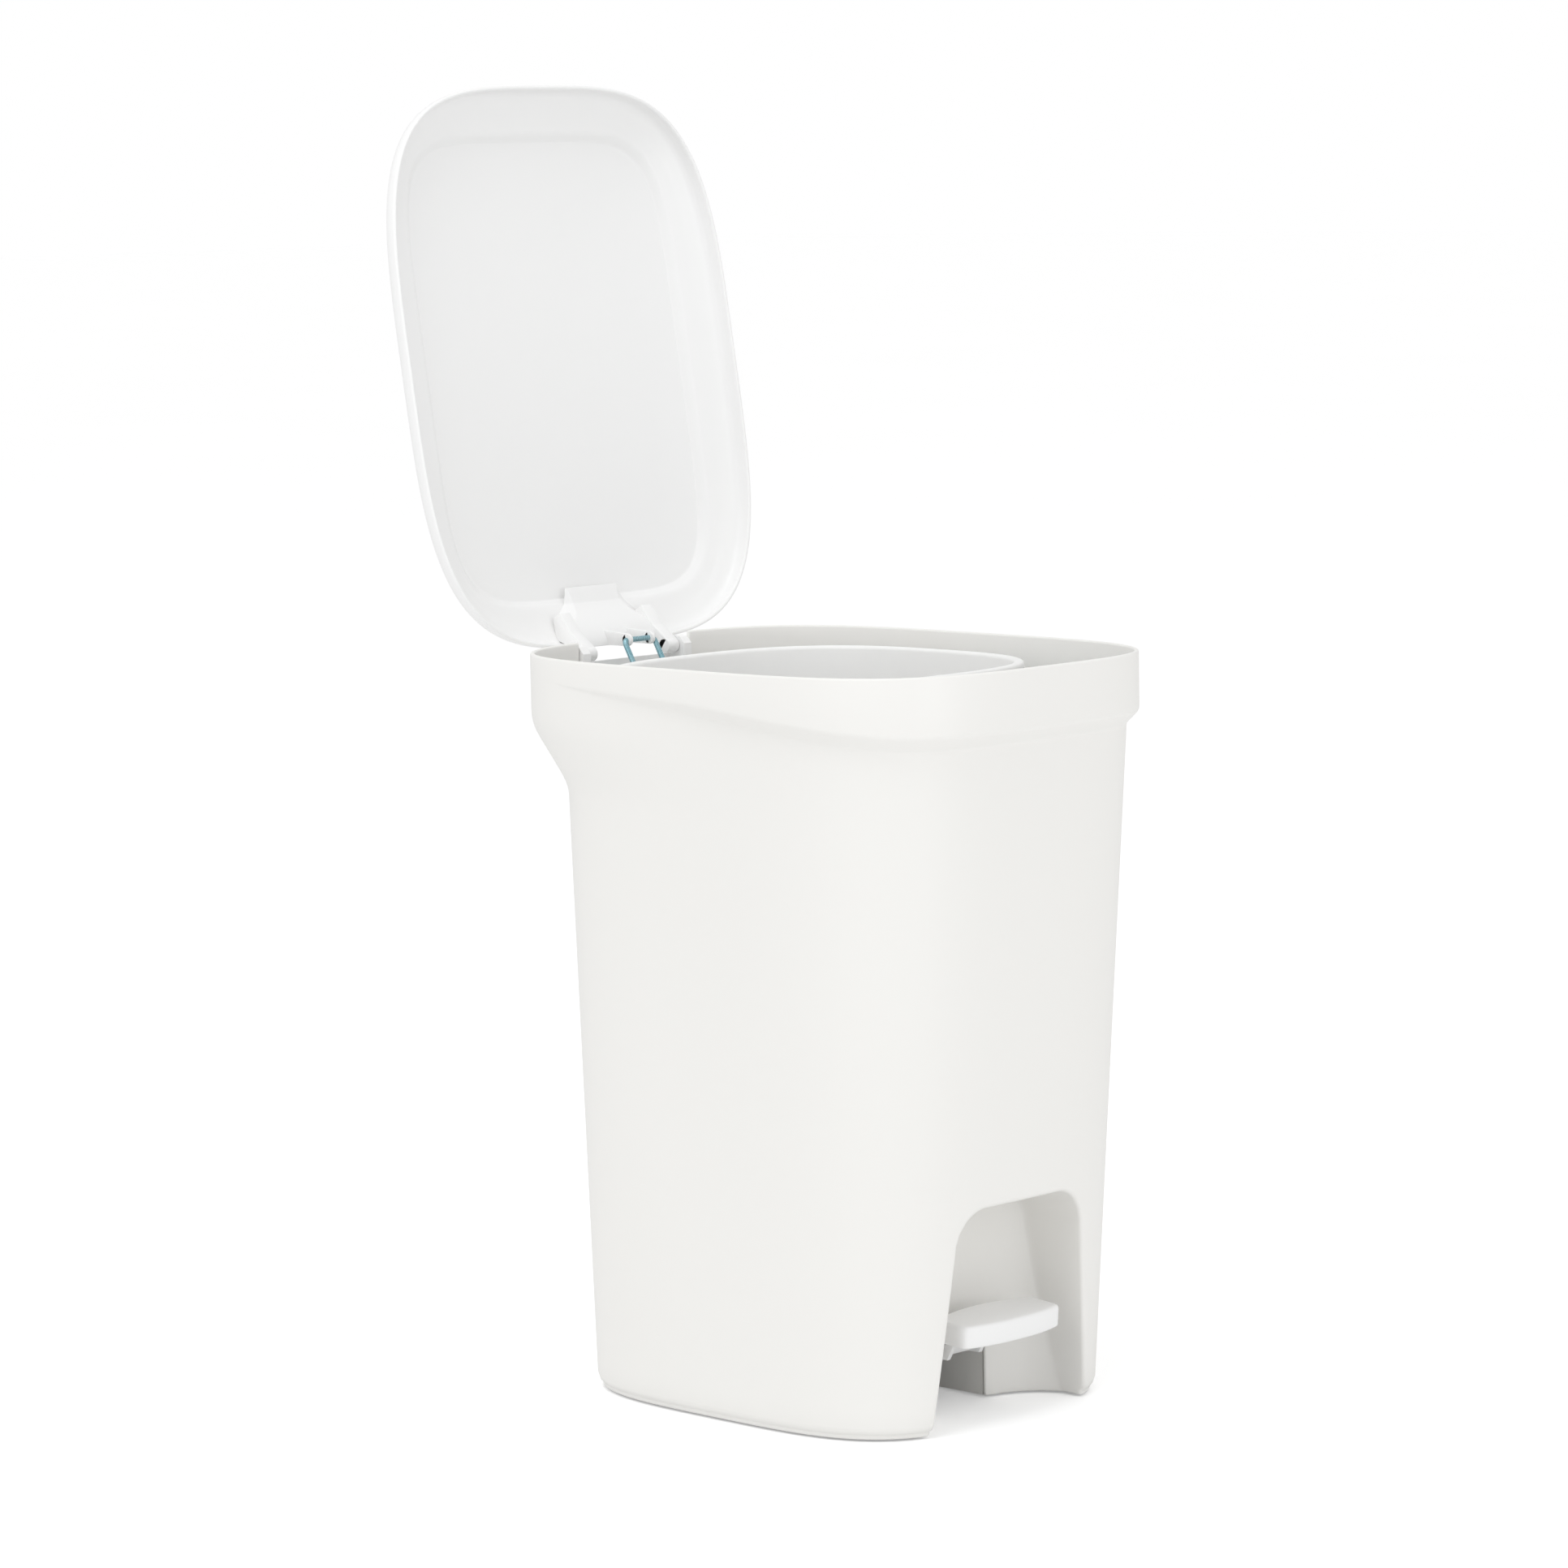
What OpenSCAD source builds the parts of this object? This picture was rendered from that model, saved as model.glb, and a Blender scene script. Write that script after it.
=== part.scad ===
// Free-standing pedal bin with an open lid, a lift-out bucket and a foot lever.
// +Z up, pedal towards -Y, hinge towards +Y, origin on the floor under the middle of the base.

/* [Outer body] */
// Height of the body's rim above the floor
body_h = 400; // [340:5:460]
// Half width of the rim (X)
rim_a = 122.5; // [105:0.5:145]
// Half depth of the rim (Y)
rim_b = 153; // [135:0.5:175]
// Squareness of the outlines: 2 is an ellipse, higher is squarer
squareness = 3.65; // [3:0.05:4.5]
// Moulded wall thickness
wall = 2.5; // [2:0.1:3.5]
// Step in from the band to the side wall
side_step = 5.5; // [3:0.5:9]
// Step in from the band to the front wall
front_step = 7.2; // [4:0.2:10]
// Step in from the rim to the rear wall, taken up by the rear flare
rear_step = 24; // [18:1:30]
// Draft of the side walls, from under the band to the floor
side_draft = 13; // [6:1:18]
// Draft of the front wall
front_draft = 21; // [10:1:26]
// Draft of the rear wall
rear_draft = 5; // [2:1:8]
// Band depth at the front
band_front = 39; // [28:1:50]
// Band depth at the rear
band_rear = 7; // [5:1:14]
// Height of the band's slanted lower edge
band_slant = 7; // [3:0.5:10]
// Height of the vertical part of the rear flare, from the rim down
flare_top = 38; // [30:1:48]
// Height of the flare's slanted part
flare_slant = 32; // [24:1:44]
// Gap between the floor and the body's lower edge
edge_gap = 1; // [0.6:0.1:2]
// Height of the set-in foot ring
ring_h = 4; // [3:0.5:6]
// How far the foot ring is set in
ring_in = 2.2; // [1:0.1:3]

/* [Foot niche and lever channel] */
// Half width of the niche at the floor
niche_half = 60; // [54:1:64]
// Half width of the niche where its arch begins
niche_top_half = 49; // [44:1:54]
// Height of the niche
niche_h = 118; // [104:1:130]
// Corner radius of the arch
niche_r = 21; // [12:1:28]
// Depth from the front wall's foot to the niche's back wall
niche_depth = 47; // [38:1:50]
// Half width of the lever channel
channel_half = 27; // [26:0.5:32]
// Height of the lever channel
channel_h = 80; // [74:1:90]

/* [Lid] */
// Overlap of the lid past the rim at each side
lid_over = 3; // [1.5:0.5:5]
// Overlap of the lid past the rim at the front
lid_lip = 9; // [4:1:12]
// Wall thickness of the lid
lid_wall = 2.2; // [1.8:0.1:3]
// Gap between the rim and the closed lid
lid_gap = 1.3; // [1:0.1:2]
// Width of the lid's sloping border
lid_border = 25; // [18:1:34]
// Height of the step up to the lid's middle panel
panel_step = 4.5; // [3:0.5:7]
// Squareness of the middle panel's outline
panel_square = 5.5; // [4:0.1:7]
// Opening angle of the lid
open_angle = 99.4; // [95:0.1:104]

/* [Hinge and lift wire] */
// Hinge axis behind the rim's outer face
hinge_back = 1.5; // [1:0.1:2.5]
// Hinge axis below the rim
hinge_drop = 7.5; // [7:0.1:9]
// Radius of the hinge pins
pin_r = 2; // [1.6:0.1:2.4]
// Radius of the hinge knuckles
knuckle_r = 4.2; // [3.8:0.1:4.4]
// Width of each lid knuckle
knuckle_w = 8.4; // [6:0.1:10]
// Half width of the hinge block
block_half = 42; // [38:1:48]
// Radius of the lift wire
wire_r = 1.5; // [1.2:0.1:2]
// Half distance between the wire's legs
wire_half = 11.5; // [10:0.5:13]
// Crank radius from the hinge axis to the wire's crossbar
crank_r = 10.5; // [9:0.1:11.5]
// Crank angle above level with the lid open
crank_angle = 38; // [30:1:48]

/* [Pedal] */
// Half width of the tread
tread_half = 38; // [32:1:42]
// Depth of the tread
tread_d = 33; // [28:1:38]
// Height of the tread's front edge, pedal down
tread_z = 55; // [48:1:62]
// Depth of the tread's apron
apron_h = 12; // [9:0.5:14]
// Bow of the tread's rear edge
tread_back_bow = 7; // [4:0.5:10]
// Tilt of the tread, pedal down
tread_tilt = 4.4; // [2:0.1:7]
// Set-back of the tread from the front wall's foot
tread_in = -2.5; // [-4:0.5:4]
// Distance of the pedal's pivot behind the origin
pivot_y = 15; // [8:1:22]
// Height of the pedal's pivot
pivot_z = 34; // [30:1:38]
// Radius of the pedal's pivot pin
pivot_r = 2.5; // [2:0.1:3]
// Height of the wire hooks, pedal down
hook_z = 58; // [54:1:62]

/* [Bucket and bail] */
// Half width of the bucket at its rim
bucket_a = 98; // [86:1:102]
// Half depth of the bucket at its rim
bucket_b = 96; // [84:1:98]
// Squareness of the bucket's outlines
bucket_square = 2.8; // [2.6:0.05:3.6]
// Draft of the bucket's walls
bucket_draft = 12; // [6:1:16]
// Bucket rim below the body's rim
bucket_drop = 8; // [5:1:20]
// Bucket wall thickness
bucket_wall = 1.8; // [1.4:0.1:2.6]
// Width of the bucket's rolled rim
bucket_lip = 3.5; // [2:0.5:4.5]
// Radius of the bail wire
bail_r = 2; // [1.6:0.1:2.4]
// Radius of the bail's grip
grip_r = 4.5; // [4:0.1:5]
// Half length of the grip
grip_half = 38; // [28:1:44]

/* [Clearances] */
// Gap between pieces that fit together
fit_gap = 0.3; // [0.2:0.05:0.5]
// Radial clearance of a pin in its bore
run_gap = 0.06; // [0.03:0.01:0.1]

/* [Hidden] */

white = "#f2f2ef";
cool_white = "#f6f6f6";
steel = "#7f99a6";
rubber = "#8d8d8a";

// --- outlines ---------------------------------------------------------------------------------
body_sides = 64;
lid_sides = 64;
bucket_sides = 48;

function power(v, n) = sign(v) * pow(abs(v), 2 / n);
function outline_x(a, t, n = squareness) = a * power(cos(t), n);
function outline_y(b, t, n = squareness) = b * power(sin(t), n);
function mix(p, q, m) = p * (1 - m) + q * m;
function clamp01(v) = max(0, min(1, v));
function smooth(v) = let (c = clamp01(v)) c * c * (3 - 2 * c);

// Body wall under the band and at the floor: half width, half depth and middle in Y
wall_top_z = body_h - band_front;
wall_a = rim_a - side_step;
wall_b = rim_b - (front_step + rear_step) / 2;
wall_y = (front_step - rear_step) / 2;
foot_a = wall_a - side_draft;
foot_b = wall_b - (front_draft + rear_draft) / 2;
foot_y = wall_y + (front_draft - rear_draft) / 2;
front_foot_y = foot_y - foot_b;

function wall_m(z) = z / wall_top_z;
function wall_half(z) = mix(foot_a, wall_a, wall_m(z));
function wall_deep(z) = mix(foot_b, wall_b, wall_m(z));
function wall_mid(z) = mix(foot_y, wall_y, wall_m(z));
function wall_back(z) = wall_mid(z) + wall_deep(z);

// A point of the body at angle t and height z: m is 0 on the wall and 1 on the rim, inset moves it in
function body_point(t, z, m, inset) = [
    mix(outline_x(wall_half(z) - inset, t), outline_x(rim_a - inset, t), m),
    mix(wall_mid(z) + outline_y(wall_deep(z) - inset, t), outline_y(rim_b - inset, t), m),
    z];

// The flare comes in along the side and is full at the rear
flare_from = -35;
flare_to = 105;
function flare(t) = smooth((outline_y(rim_b, t) - flare_from) / (flare_to - flare_from));
// Height of the band's lower edge, rising from front to rear
function band_z(t) =
    mix(wall_top_z, body_h - band_rear, clamp01((outline_y(rim_b, t) + rim_b - 13) / (2 * rim_b - 16)));
function flare_z(t) = min(body_h - flare_top, band_z(t) - 5);
crease_z = body_h - flare_top - flare_slant;

function body_rings(inset, low) = [
    for (z = low) [for (i = [0:body_sides - 1]) let (t = 360 * i / body_sides)
        body_point(t, z[0], 0, inset + z[1])],
    [for (i = [0:body_sides - 1]) let (t = 360 * i / body_sides) body_point(t, crease_z, 0, inset)],
    [for (i = [0:body_sides - 1]) let (t = 360 * i / body_sides) body_point(t, flare_z(t), flare(t), inset)],
    [for (i = [0:body_sides - 1]) let (t = 360 * i / body_sides) body_point(t, band_z(t), flare(t), inset)],
    [for (i = [0:body_sides - 1]) let (t = 360 * i / body_sides)
        body_point(t, band_z(t) + 0.5 + (band_slant - 0.5) * (1 - flare(t)), 1, inset)]];

// A stack of rings closed at both ends
module loft(rings) {
    n = len(rings[0]);
    k = len(rings);
    points = concat([for (r = rings, p = r) p],
        [[for (c = [0:2]) let (r = rings[0]) (r[0][c] + r[n / 2][c]) / 2]],
        [[for (c = [0:2]) let (r = rings[k - 1]) (r[0][c] + r[n / 2][c]) / 2]]);
    faces = concat(
        [for (j = [0:k - 2], i = [0:n - 1]) [j * n + i, (j + 1) * n + i, j * n + (i + 1) % n]],
        [for (j = [0:k - 2], i = [0:n - 1])
            [(j + 1) * n + i, (j + 1) * n + (i + 1) % n, j * n + (i + 1) % n]],
        [for (i = [0:n - 1]) [i, (i + 1) % n, k * n]],
        [for (i = [0:n - 1]) [(k - 1) * n + (i + 1) % n, (k - 1) * n + i, k * n + 1]]);
    polyhedron(points = points, faces = faces, convexity = 8);
}

// A profile in Y and Z, extruded along X from x0 to x1
module along_x(x0, x1) {
    translate([x0, 0, 0]) rotate([90, 0, 90]) linear_extrude(height = x1 - x0) children();
}
// A round bar along X
module bar_x(x0, x1, y, z, r, fn = 48) {
    translate([x0, y, z]) rotate([0, 90, 0]) cylinder(h = x1 - x0, r = r, $fn = fn);
}
module both_sides() {
    children();
    mirror([1, 0, 0]) children();
}
// A bent wire: flat_wire lies in a level plane, upright_wire in the plane square to X at x
module flat_wire(path, z, r, sides = 10) {
    k = len(path);
    loft([for (j = [0:k - 1])
        let (d = path[min(j + 1, k - 1)] - path[max(j - 1, 0)], side = [-d[1], d[0]] / norm(d))
        [for (i = [0:sides - 1]) let (t = 360 * i / sides)
            [path[j][0] + side[0] * r * cos(t), path[j][1] + side[1] * r * cos(t), z + r * sin(t)]]]);
}
module upright_wire(path, x, r, sides = 12) {
    k = len(path);
    loft([for (j = [0:k - 1])
        let (d = path[min(j + 1, k - 1)] - path[max(j - 1, 0)], side = [d[1], -d[0]] / norm(d))
        [for (i = [0:sides - 1]) let (t = 360 * i / sides)
            [x + r * cos(t), path[j][0] + side[0] * r * sin(t), path[j][1] + side[1] * r * sin(t)]]]);
}

// --- shared places ----------------------------------------------------------------------------
hinge_y = rim_b + hinge_back;
hinge_z = body_h - hinge_drop;
crossbar_open_y = hinge_y - crank_r * cos(crank_angle);
crossbar_open_z = hinge_z + crank_r * sin(crank_angle);
// Legs of the lift wire: they lean in from the crossbar to a knee, then run down to the hooks
wire_lean = 30;
bucket_y = 11;
knee_y = bucket_y + bucket_b + 10;
knee_z = crossbar_open_z - (crossbar_open_y - knee_y) / tan(wire_lean);
hook_y = knee_y - 8;

// --- niche, channel and supports -------------------------------------------------------------
floor_z = 5;
niche_back = front_foot_y + niche_depth;
channel_back = wall_back(0) - wall - 2.2;
deck_z = channel_h + wall;

// Front view of the niche: an arch whose sides lean in
module niche_front(grow) {
    top = niche_h + grow;
    half = niche_top_half + grow;
    r = niche_r + grow;
    polygon(concat([[-niche_half - grow, -2], [niche_half + grow, -2]],
        [for (a = [0:15:90]) [half - r + r * cos(a), top - r + r * sin(a)]],
        [for (a = [90:15:180]) [-half + r + r * cos(a), top - r + r * sin(a)]]));
}
// Plan of the niche: a rounded bay
module niche_plan(grow) {
    deep = 60;
    n = 3;
    polygon([for (i = [0:40]) let (t = 180 * i / 40)
        [outline_x(niche_half + 4 + grow, t, n), niche_back + grow - deep + outline_y(deep, t, n)]]);
}
module niche_space(grow) {
    intersection() {
        translate([0, niche_back + grow, 0]) rotate([90, 0, 0])
            linear_extrude(height = 90) niche_front(grow);
        translate([0, 0, -3]) linear_extrude(height = niche_h + grow + 10) union() {
            niche_plan(grow);
            translate([-niche_half - 6, niche_back - 110]) square([2 * niche_half + 12, 51]);
        }
    }
}
// The channel behind the niche, and the opening the lever passes through: wide low down, narrow above
lever_out = 14;
pass_low_z = 46;
pass_top_z = 50.5;
pass_half = lever_out + 2;
module channel_space(grow) {
    half = channel_half + grow;
    front = niche_back + wall;
    translate([-half, front - grow, -3])
        cube([2 * half, channel_back - front + 2 * grow, channel_h + 3 + grow]);
}
module lever_opening() {
    translate([-channel_half, niche_back - 12, -3]) cube([2 * channel_half, 20, pass_low_z + 3]);
    translate([-pass_half, niche_back - 12, 0]) cube([2 * pass_half, 20, pass_top_z]);
}
wire_slot_y = hook_y - 6;
module wire_slot() {
    half = wire_half + wire_r + 3;
    translate([-half, wire_slot_y, channel_h - 2])
        cube([2 * half, channel_back - wire_slot_y, wall + 6]);
}

// Cross ribs that carry the bucket
rib_t = 2.5;
rib_front = -40;
rib_rear = 62;
module support_ribs() {
    for (y = [rib_front, rib_rear])
        translate([-rim_a, y, floor_z]) cube([2 * rim_a, rib_t, deck_z - floor_z]);
}

// Screw bosses for the pivot bridge
screw_x = channel_half + wall + 6;
screw_dy = 15;
screw_r = 1.5;
boss_r = 4;
boss_h = 14;
module at_screws() {
    for (x = [-screw_x, screw_x], y = [pivot_y - screw_dy, pivot_y + screw_dy])
        translate([x, y, 0]) children();
}

// --- feet -------------------------------------------------------------------------------------
foot_r = 8;
// The feet stand inside the body's corners
foot_in = 15;
foot_x = outline_x(foot_a - foot_in, 45);
foot_dy = outline_y(foot_b - foot_in, 45);
stem_r = 3;
stem_h = 9;
module foot(sx, sy) {
    color(rubber) translate([sx * foot_x, foot_y + sy * foot_dy, 0]) {
        cylinder(h = floor_z, r = foot_r, $fn = 48);
        cylinder(h = stem_h, r = stem_r, $fn = 32);
    }
}
module foot_front_left() { foot(-1, -1); }
module foot_front_right() { foot(1, -1); }
module foot_rear_left() { foot(-1, 1); }
module foot_rear_right() { foot(1, 1); }

// --- hinge ------------------------------------------------------------------------------------
notch_z = body_h - 34;
notch_half = block_half + fit_gap;

module rim_notch() {
    translate([-notch_half, rim_b - wall - 8, notch_z]) cube([2 * notch_half, 20, 60]);
}

// --- outer body -------------------------------------------------------------------------------
module body_shell() {
    difference() {
        loft(concat(body_rings(0, [[edge_gap, ring_in], [ring_h, ring_in], [ring_h + 0.8, 0.8],
                                   [ring_h + 4, 0]]),
                    [[for (i = [0:body_sides - 1]) let (t = 360 * i / body_sides)
                        body_point(t, body_h, 1, 0)]]));
        loft(concat(body_rings(wall, [[floor_z + wall, 1], [floor_z + wall + 3, 0]]),
                    [[for (i = [0:body_sides - 1]) let (t = 360 * i / body_sides)
                        body_point(t, body_h + 5, 1, wall)]]));
        translate([0, 0, -1]) linear_extrude(height = floor_z + 1)
            polygon([for (i = [0:body_sides - 1]) let (t = 360 * i / body_sides)
                [outline_x(foot_a - ring_in - wall, t), foot_y + outline_y(foot_b - ring_in - wall, t)]]);
    }
}
module inside_body() {
    loft(concat(body_rings(0.4, [[floor_z, 0.4], [floor_z + 4, 0]]),
                [[for (i = [0:body_sides - 1]) let (t = 360 * i / body_sides)
                    body_point(t, body_h - 1, 1, 0.4)]]));
}
// Room for the pivot bridge's plate under the floor
bridge_half_x = screw_x + 7;
bridge_half_y = 24;
module bridge_pocket() {
    half_x = bridge_half_x + fit_gap;
    half_y = bridge_half_y + fit_gap;
    translate([-half_x, pivot_y - half_y, -1]) cube([2 * half_x, 2 * half_y, floor_z + 1]);
}
module outer_body() {
    color(white) difference() {
        union() {
            body_shell();
            intersection() {
                inside_body();
                union() {
                    niche_space(wall);
                    channel_space(wall);
                    support_ribs();
                    at_screws() cylinder(h = floor_z + boss_h, r = boss_r, $fn = 48);
                }
            }
            niche_skirt();
        }
        niche_space(0);
        channel_space(0);
        lever_opening();
        bridge_pocket();
        wire_slot();
        rim_notch();
        at_screws() translate([0, 0, -1]) cylinder(h = floor_z + boss_h, r = screw_r + run_gap, $fn = 32);
        for (sx = [-1, 1], sy = [-1, 1])
            translate([sx * foot_x, foot_y + sy * foot_dy, 0])
                cylinder(h = 20, r = stem_r + run_gap, $fn = 32);
    }
}
// Lower edges of the niche and channel walls, down to the body's lower edge
module niche_skirt() {
    intersection() {
        loft([for (z = [edge_gap, floor_z + 1])
            [for (i = [0:body_sides - 1]) let (t = 360 * i / body_sides)
                body_point(t, z, 0, ring_in + 0.2)]]);
        union() {
            niche_space(wall);
            channel_space(wall);
        }
    }
}

// --- hinge block ------------------------------------------------------------------------------
ear_w = 5.8;
block_back = hinge_y + knuckle_r + fit_gap + 2;
block_in = rim_b - wall - 3.3;
lap = 4.5;
module hinge_block() {
    low = notch_z + fit_gap;
    color(cool_white) difference() {
        union() {
            both_sides() {
                along_x(block_half - ear_w, block_half) polygon([
                    [block_in, low], [block_back - 3.5, low], [block_back, low + 5],
                    [block_back, hinge_z - 2], [hinge_y + 3, hinge_z + 4.6], [hinge_y, hinge_z + 5.3],
                    [hinge_y - 4, hinge_z + 4.6], [block_in, hinge_z + 1]]);
                along_x(block_half - 0.5, block_half + lap) polygon([
                    [rim_b + fit_gap, low], [rim_b + fit_gap + 2, low],
                    [rim_b + fit_gap + 2, body_h - 5], [rim_b + fit_gap, body_h - 5]]);
            }
            along_x(-block_half, block_half) polygon([
                [block_in, low], [block_back - 3.5, low], [block_back, low + 5],
                [block_back, hinge_z - 5], [block_back - 2, hinge_z - 5], [block_back - 2, low + 6],
                [block_back - 4.3, low + 2.2], [block_in, low + 2.2]]);
        }
        bar_x(-block_half - 1, block_half + 1, hinge_y, hinge_z, pin_r + run_gap / 2);
    }
}
pin_in = block_half - ear_w - fit_gap - knuckle_w + 0.6;
module hinge_pin_right() { color(steel) bar_x(pin_in, block_half - 0.4, hinge_y, hinge_z, pin_r); }
module hinge_pin_left() { color(steel) bar_x(-block_half + 0.4, -pin_in, hinge_y, hinge_z, pin_r); }

// --- lid --------------------------------------------------------------------------------------
// The lid is drawn closed and turned open about the hinge.
module opened() {
    translate([0, hinge_y, hinge_z]) rotate([-open_angle, 0, 0]) translate([0, -hinge_y, -hinge_z])
        children();
}
lid_low = body_h + lid_gap;
lid_back = hinge_y - 4.5;
lid_front = -rim_b - lid_lip;
lid_a = rim_a + lid_over;
lid_b = (lid_back - lid_front) / 2;
lid_y = (lid_back + lid_front) / 2;
lid_edge = 11.2;
lid_slope = 4.5;
lid_crown = 3.5;
lid_rim = 5;
function lid_square(inset) = mix(squareness, panel_square, smooth((inset - lid_rim) / (lid_border - lid_rim)));
function lid_ring(inset, z) = [for (i = [0:lid_sides - 1]) let (t = 360 * i / lid_sides, n = lid_square(inset))
    [outline_x(lid_a - inset, t, n), lid_y + outline_y(lid_b - inset, t, n), lid_low + z]];
// Outer skin from the edge up over the border and the step to the middle panel
lid_skin = [
    [0, 0], [0, 4.2], [1.2, 8.2], [4.5, lid_edge], [12, lid_edge + lid_slope * 0.45],
    [lid_border - 1.5, lid_edge + lid_slope], [lid_border + 2.5, lid_edge + lid_slope + panel_step],
    [lid_border + 22, lid_edge + lid_slope + panel_step + lid_crown * 0.5],
    [lid_border + 60, lid_edge + lid_slope + panel_step + lid_crown]];
module lid() {
    color(cool_white) opened() difference() {
        union() {
            difference() {
                loft([for (p = lid_skin) lid_ring(p[0], p[1])]);
                loft(concat([lid_ring(lid_wall, -1)],
                    [for (i = [1:len(lid_skin) - 1]) let (p = lid_skin[i])
                        lid_ring(p[0] + (i < 4 ? lid_wall : lid_wall * 0.6),
                                 p[1] - lid_wall * (i == 1 ? 0.2 : i == 2 ? 0.6 : 1))]));
            }
            hinge_tongue();
        }
        bar_x(-block_half, block_half, hinge_y, hinge_z, pin_r + run_gap);
        bar_x(-10, 10, crossbar_y, crossbar_z, wire_r + run_gap);
    }
}
knuckle_out = block_half - ear_w - fit_gap;
knuckle_in = knuckle_out - knuckle_w;
// Crossbar of the lift wire with the lid closed
crank_closed = crank_angle - open_angle;
crossbar_y = hinge_y - crank_r * cos(crank_closed);
crossbar_z = hinge_z + crank_r * sin(crank_closed);
tongue_len = 32;
tongue_half = 20;
lug_r = wire_r + 1.9;
lug_in = 7.5;
lug_w = 2.2;
module hinge_tongue() {
    under = lid_low + lid_edge + lid_slope - lid_wall;
    both_sides() {
        bar_x(knuckle_in, knuckle_out, hinge_y, hinge_z, knuckle_r);
        along_x(knuckle_in, knuckle_out) polygon([
            [hinge_y - 3, hinge_z - 2.9], [hinge_y + 2.9, hinge_z + 3], [lid_back - 2.2, lid_low + 3],
            [lid_back - 6, lid_low + lid_edge - 1], [lid_back - 18, lid_low + lid_edge - 1],
            [lid_back - 20, lid_low + 5], [lid_back - 8, lid_low - 2]]);
        bar_x(lug_in, lug_in + lug_w, crossbar_y, crossbar_z, lug_r);
        along_x(lug_in, lug_in + lug_w) polygon([
            [crossbar_y - lug_r, crossbar_z], [crossbar_y + lug_r, crossbar_z],
            [lid_back + 0.5, lid_low - 2.5], [lid_back - 6, lid_low + 3], [lid_back - 9, lid_low + 3]]);
    }
    intersection() {
        along_x(-knuckle_out, knuckle_out) polygon([
            [lid_back - 1.5, lid_low - 4.5], [lid_back + 1, lid_low - 2], [lid_back - 2.2, lid_low + 3],
            [lid_back - 8, lid_low + lid_edge - 1], [lid_back - tongue_len, under + 0.8],
            [lid_back - tongue_len - 3, under + 0.8], [lid_back - tongue_len, under - 2],
            [lid_back - 16, lid_low + 1]]);
        linear_extrude(height = body_h + 100) polygon([
            [-knuckle_out, hinge_y], [knuckle_out, hinge_y], [knuckle_out, lid_back - 8],
            [tongue_half, lid_back - tongue_len + 4], [tongue_half, lid_back - tongue_len - 6],
            [-tongue_half, lid_back - tongue_len - 6], [-tongue_half, lid_back - tongue_len + 4],
            [-knuckle_out, lid_back - 8]]);
    }
}

// --- lift wire --------------------------------------------------------------------------------
tail_half = 8;
knee_r = 12;
module lift_wire() {
    leg = concat([[crossbar_open_y, crossbar_open_z]],
        [for (i = [0:4]) let (t = wire_lean * (1 - i / 4))
            [knee_y + knee_r * (1 - cos(t)), knee_z - knee_r * tan(wire_lean / 2) + knee_r * sin(t)]],
        [[hook_y, hook_z]]);
    end = wire_half + wire_r;
    color(steel) {
        bar_x(-end, end, crossbar_open_y, crossbar_open_z, wire_r, 32);
        both_sides() {
            upright_wire(leg, wire_half, wire_r - 0.04);
            bar_x(tail_half - 4, end, hook_y, hook_z, wire_r, 32);
        }
    }
}

// --- pedal ------------------------------------------------------------------------------------
tread_front = front_foot_y + tread_in;
tread_bow = 5;
tread_t = 3;
lever_t = 3;
hub_r = pivot_r + 3.5;
module tread_outline(inset) {
    half = tread_half - inset;
    polygon(concat(
        [for (i = [6:-1:-6]) [half * i / 6, tread_d - tread_back_bow * pow(i / 6, 2) - inset]],
        [for (i = [-6:6]) [half * i / 6, tread_bow * pow(abs(i / 6), 2.5) + inset]]));
}
slot_back = 1;
slot_front = 3.8;
slot_r = wire_r + 1.1;
slot_z = hook_z - 0.6;
module pedal() {
    color(cool_white) difference() {
        union() {
            translate([0, tread_front, tread_z]) rotate([tread_tilt, 0, 0]) {
                translate([0, 0, -tread_t]) linear_extrude(height = tread_t) tread_outline(0);
                translate([0, 0, -apron_h]) linear_extrude(height = apron_h - 1) difference() {
                    tread_outline(0);
                    tread_outline(2.5);
                }
            }
            both_sides() along_x(lever_out - lever_t, lever_out) lever_side();
            along_x(-lever_out + 1, lever_out - 1) lever_web();
            bar_x(-lever_out - 2, lever_out + 2, pivot_y, pivot_z, hub_r);
            along_x(-tail_half, tail_half) lever_tail();
        }
        bar_x(-lever_out - 5, lever_out + 5, pivot_y, pivot_z, pivot_r + run_gap);
        along_x(-tail_half - 1, tail_half + 1) hook_slot();
    }
}
lever_front = tread_front + 8;
lever_rear = hook_y - 24;
lever_h = 11;
// The lever dips behind the tread and passes through the wall below the tread's level
neck_front = niche_back - 6;
neck_back = niche_back + wall + 6;
neck_top = pass_top_z - 16.7;
neck_h = 5;
module lever_side() {
    polygon([[lever_front, tread_z - 1.6], [lever_front + 4, tread_z - lever_h],
        [neck_front - 12, tread_z - lever_h], [neck_front - 4, neck_top - neck_h], [neck_back, neck_top - neck_h],
        [pivot_y - 8, pivot_z - 5], [pivot_y + 8, pivot_z - 5], [lever_rear, hook_z - lever_h - 3],
        [lever_rear, hook_z - 1], [pivot_y, pivot_z + 9], [neck_back + 4, neck_top],
        [neck_front, neck_top], [tread_front + tread_d - 2, tread_z - 1]]);
}
module lever_web() {
    polygon([[tread_front + tread_d - 3, tread_z - 0.5], [tread_front + tread_d - 6, tread_z - 3.5],
        [neck_front - 2, neck_top - lever_t], [neck_back + 4, neck_top - lever_t],
        [pivot_y, pivot_z + hub_r - 1], [lever_rear, hook_z - 4], [lever_rear, hook_z - 1],
        [pivot_y, pivot_z + 9], [neck_back + 4, neck_top], [neck_front, neck_top]]);
}
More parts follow.
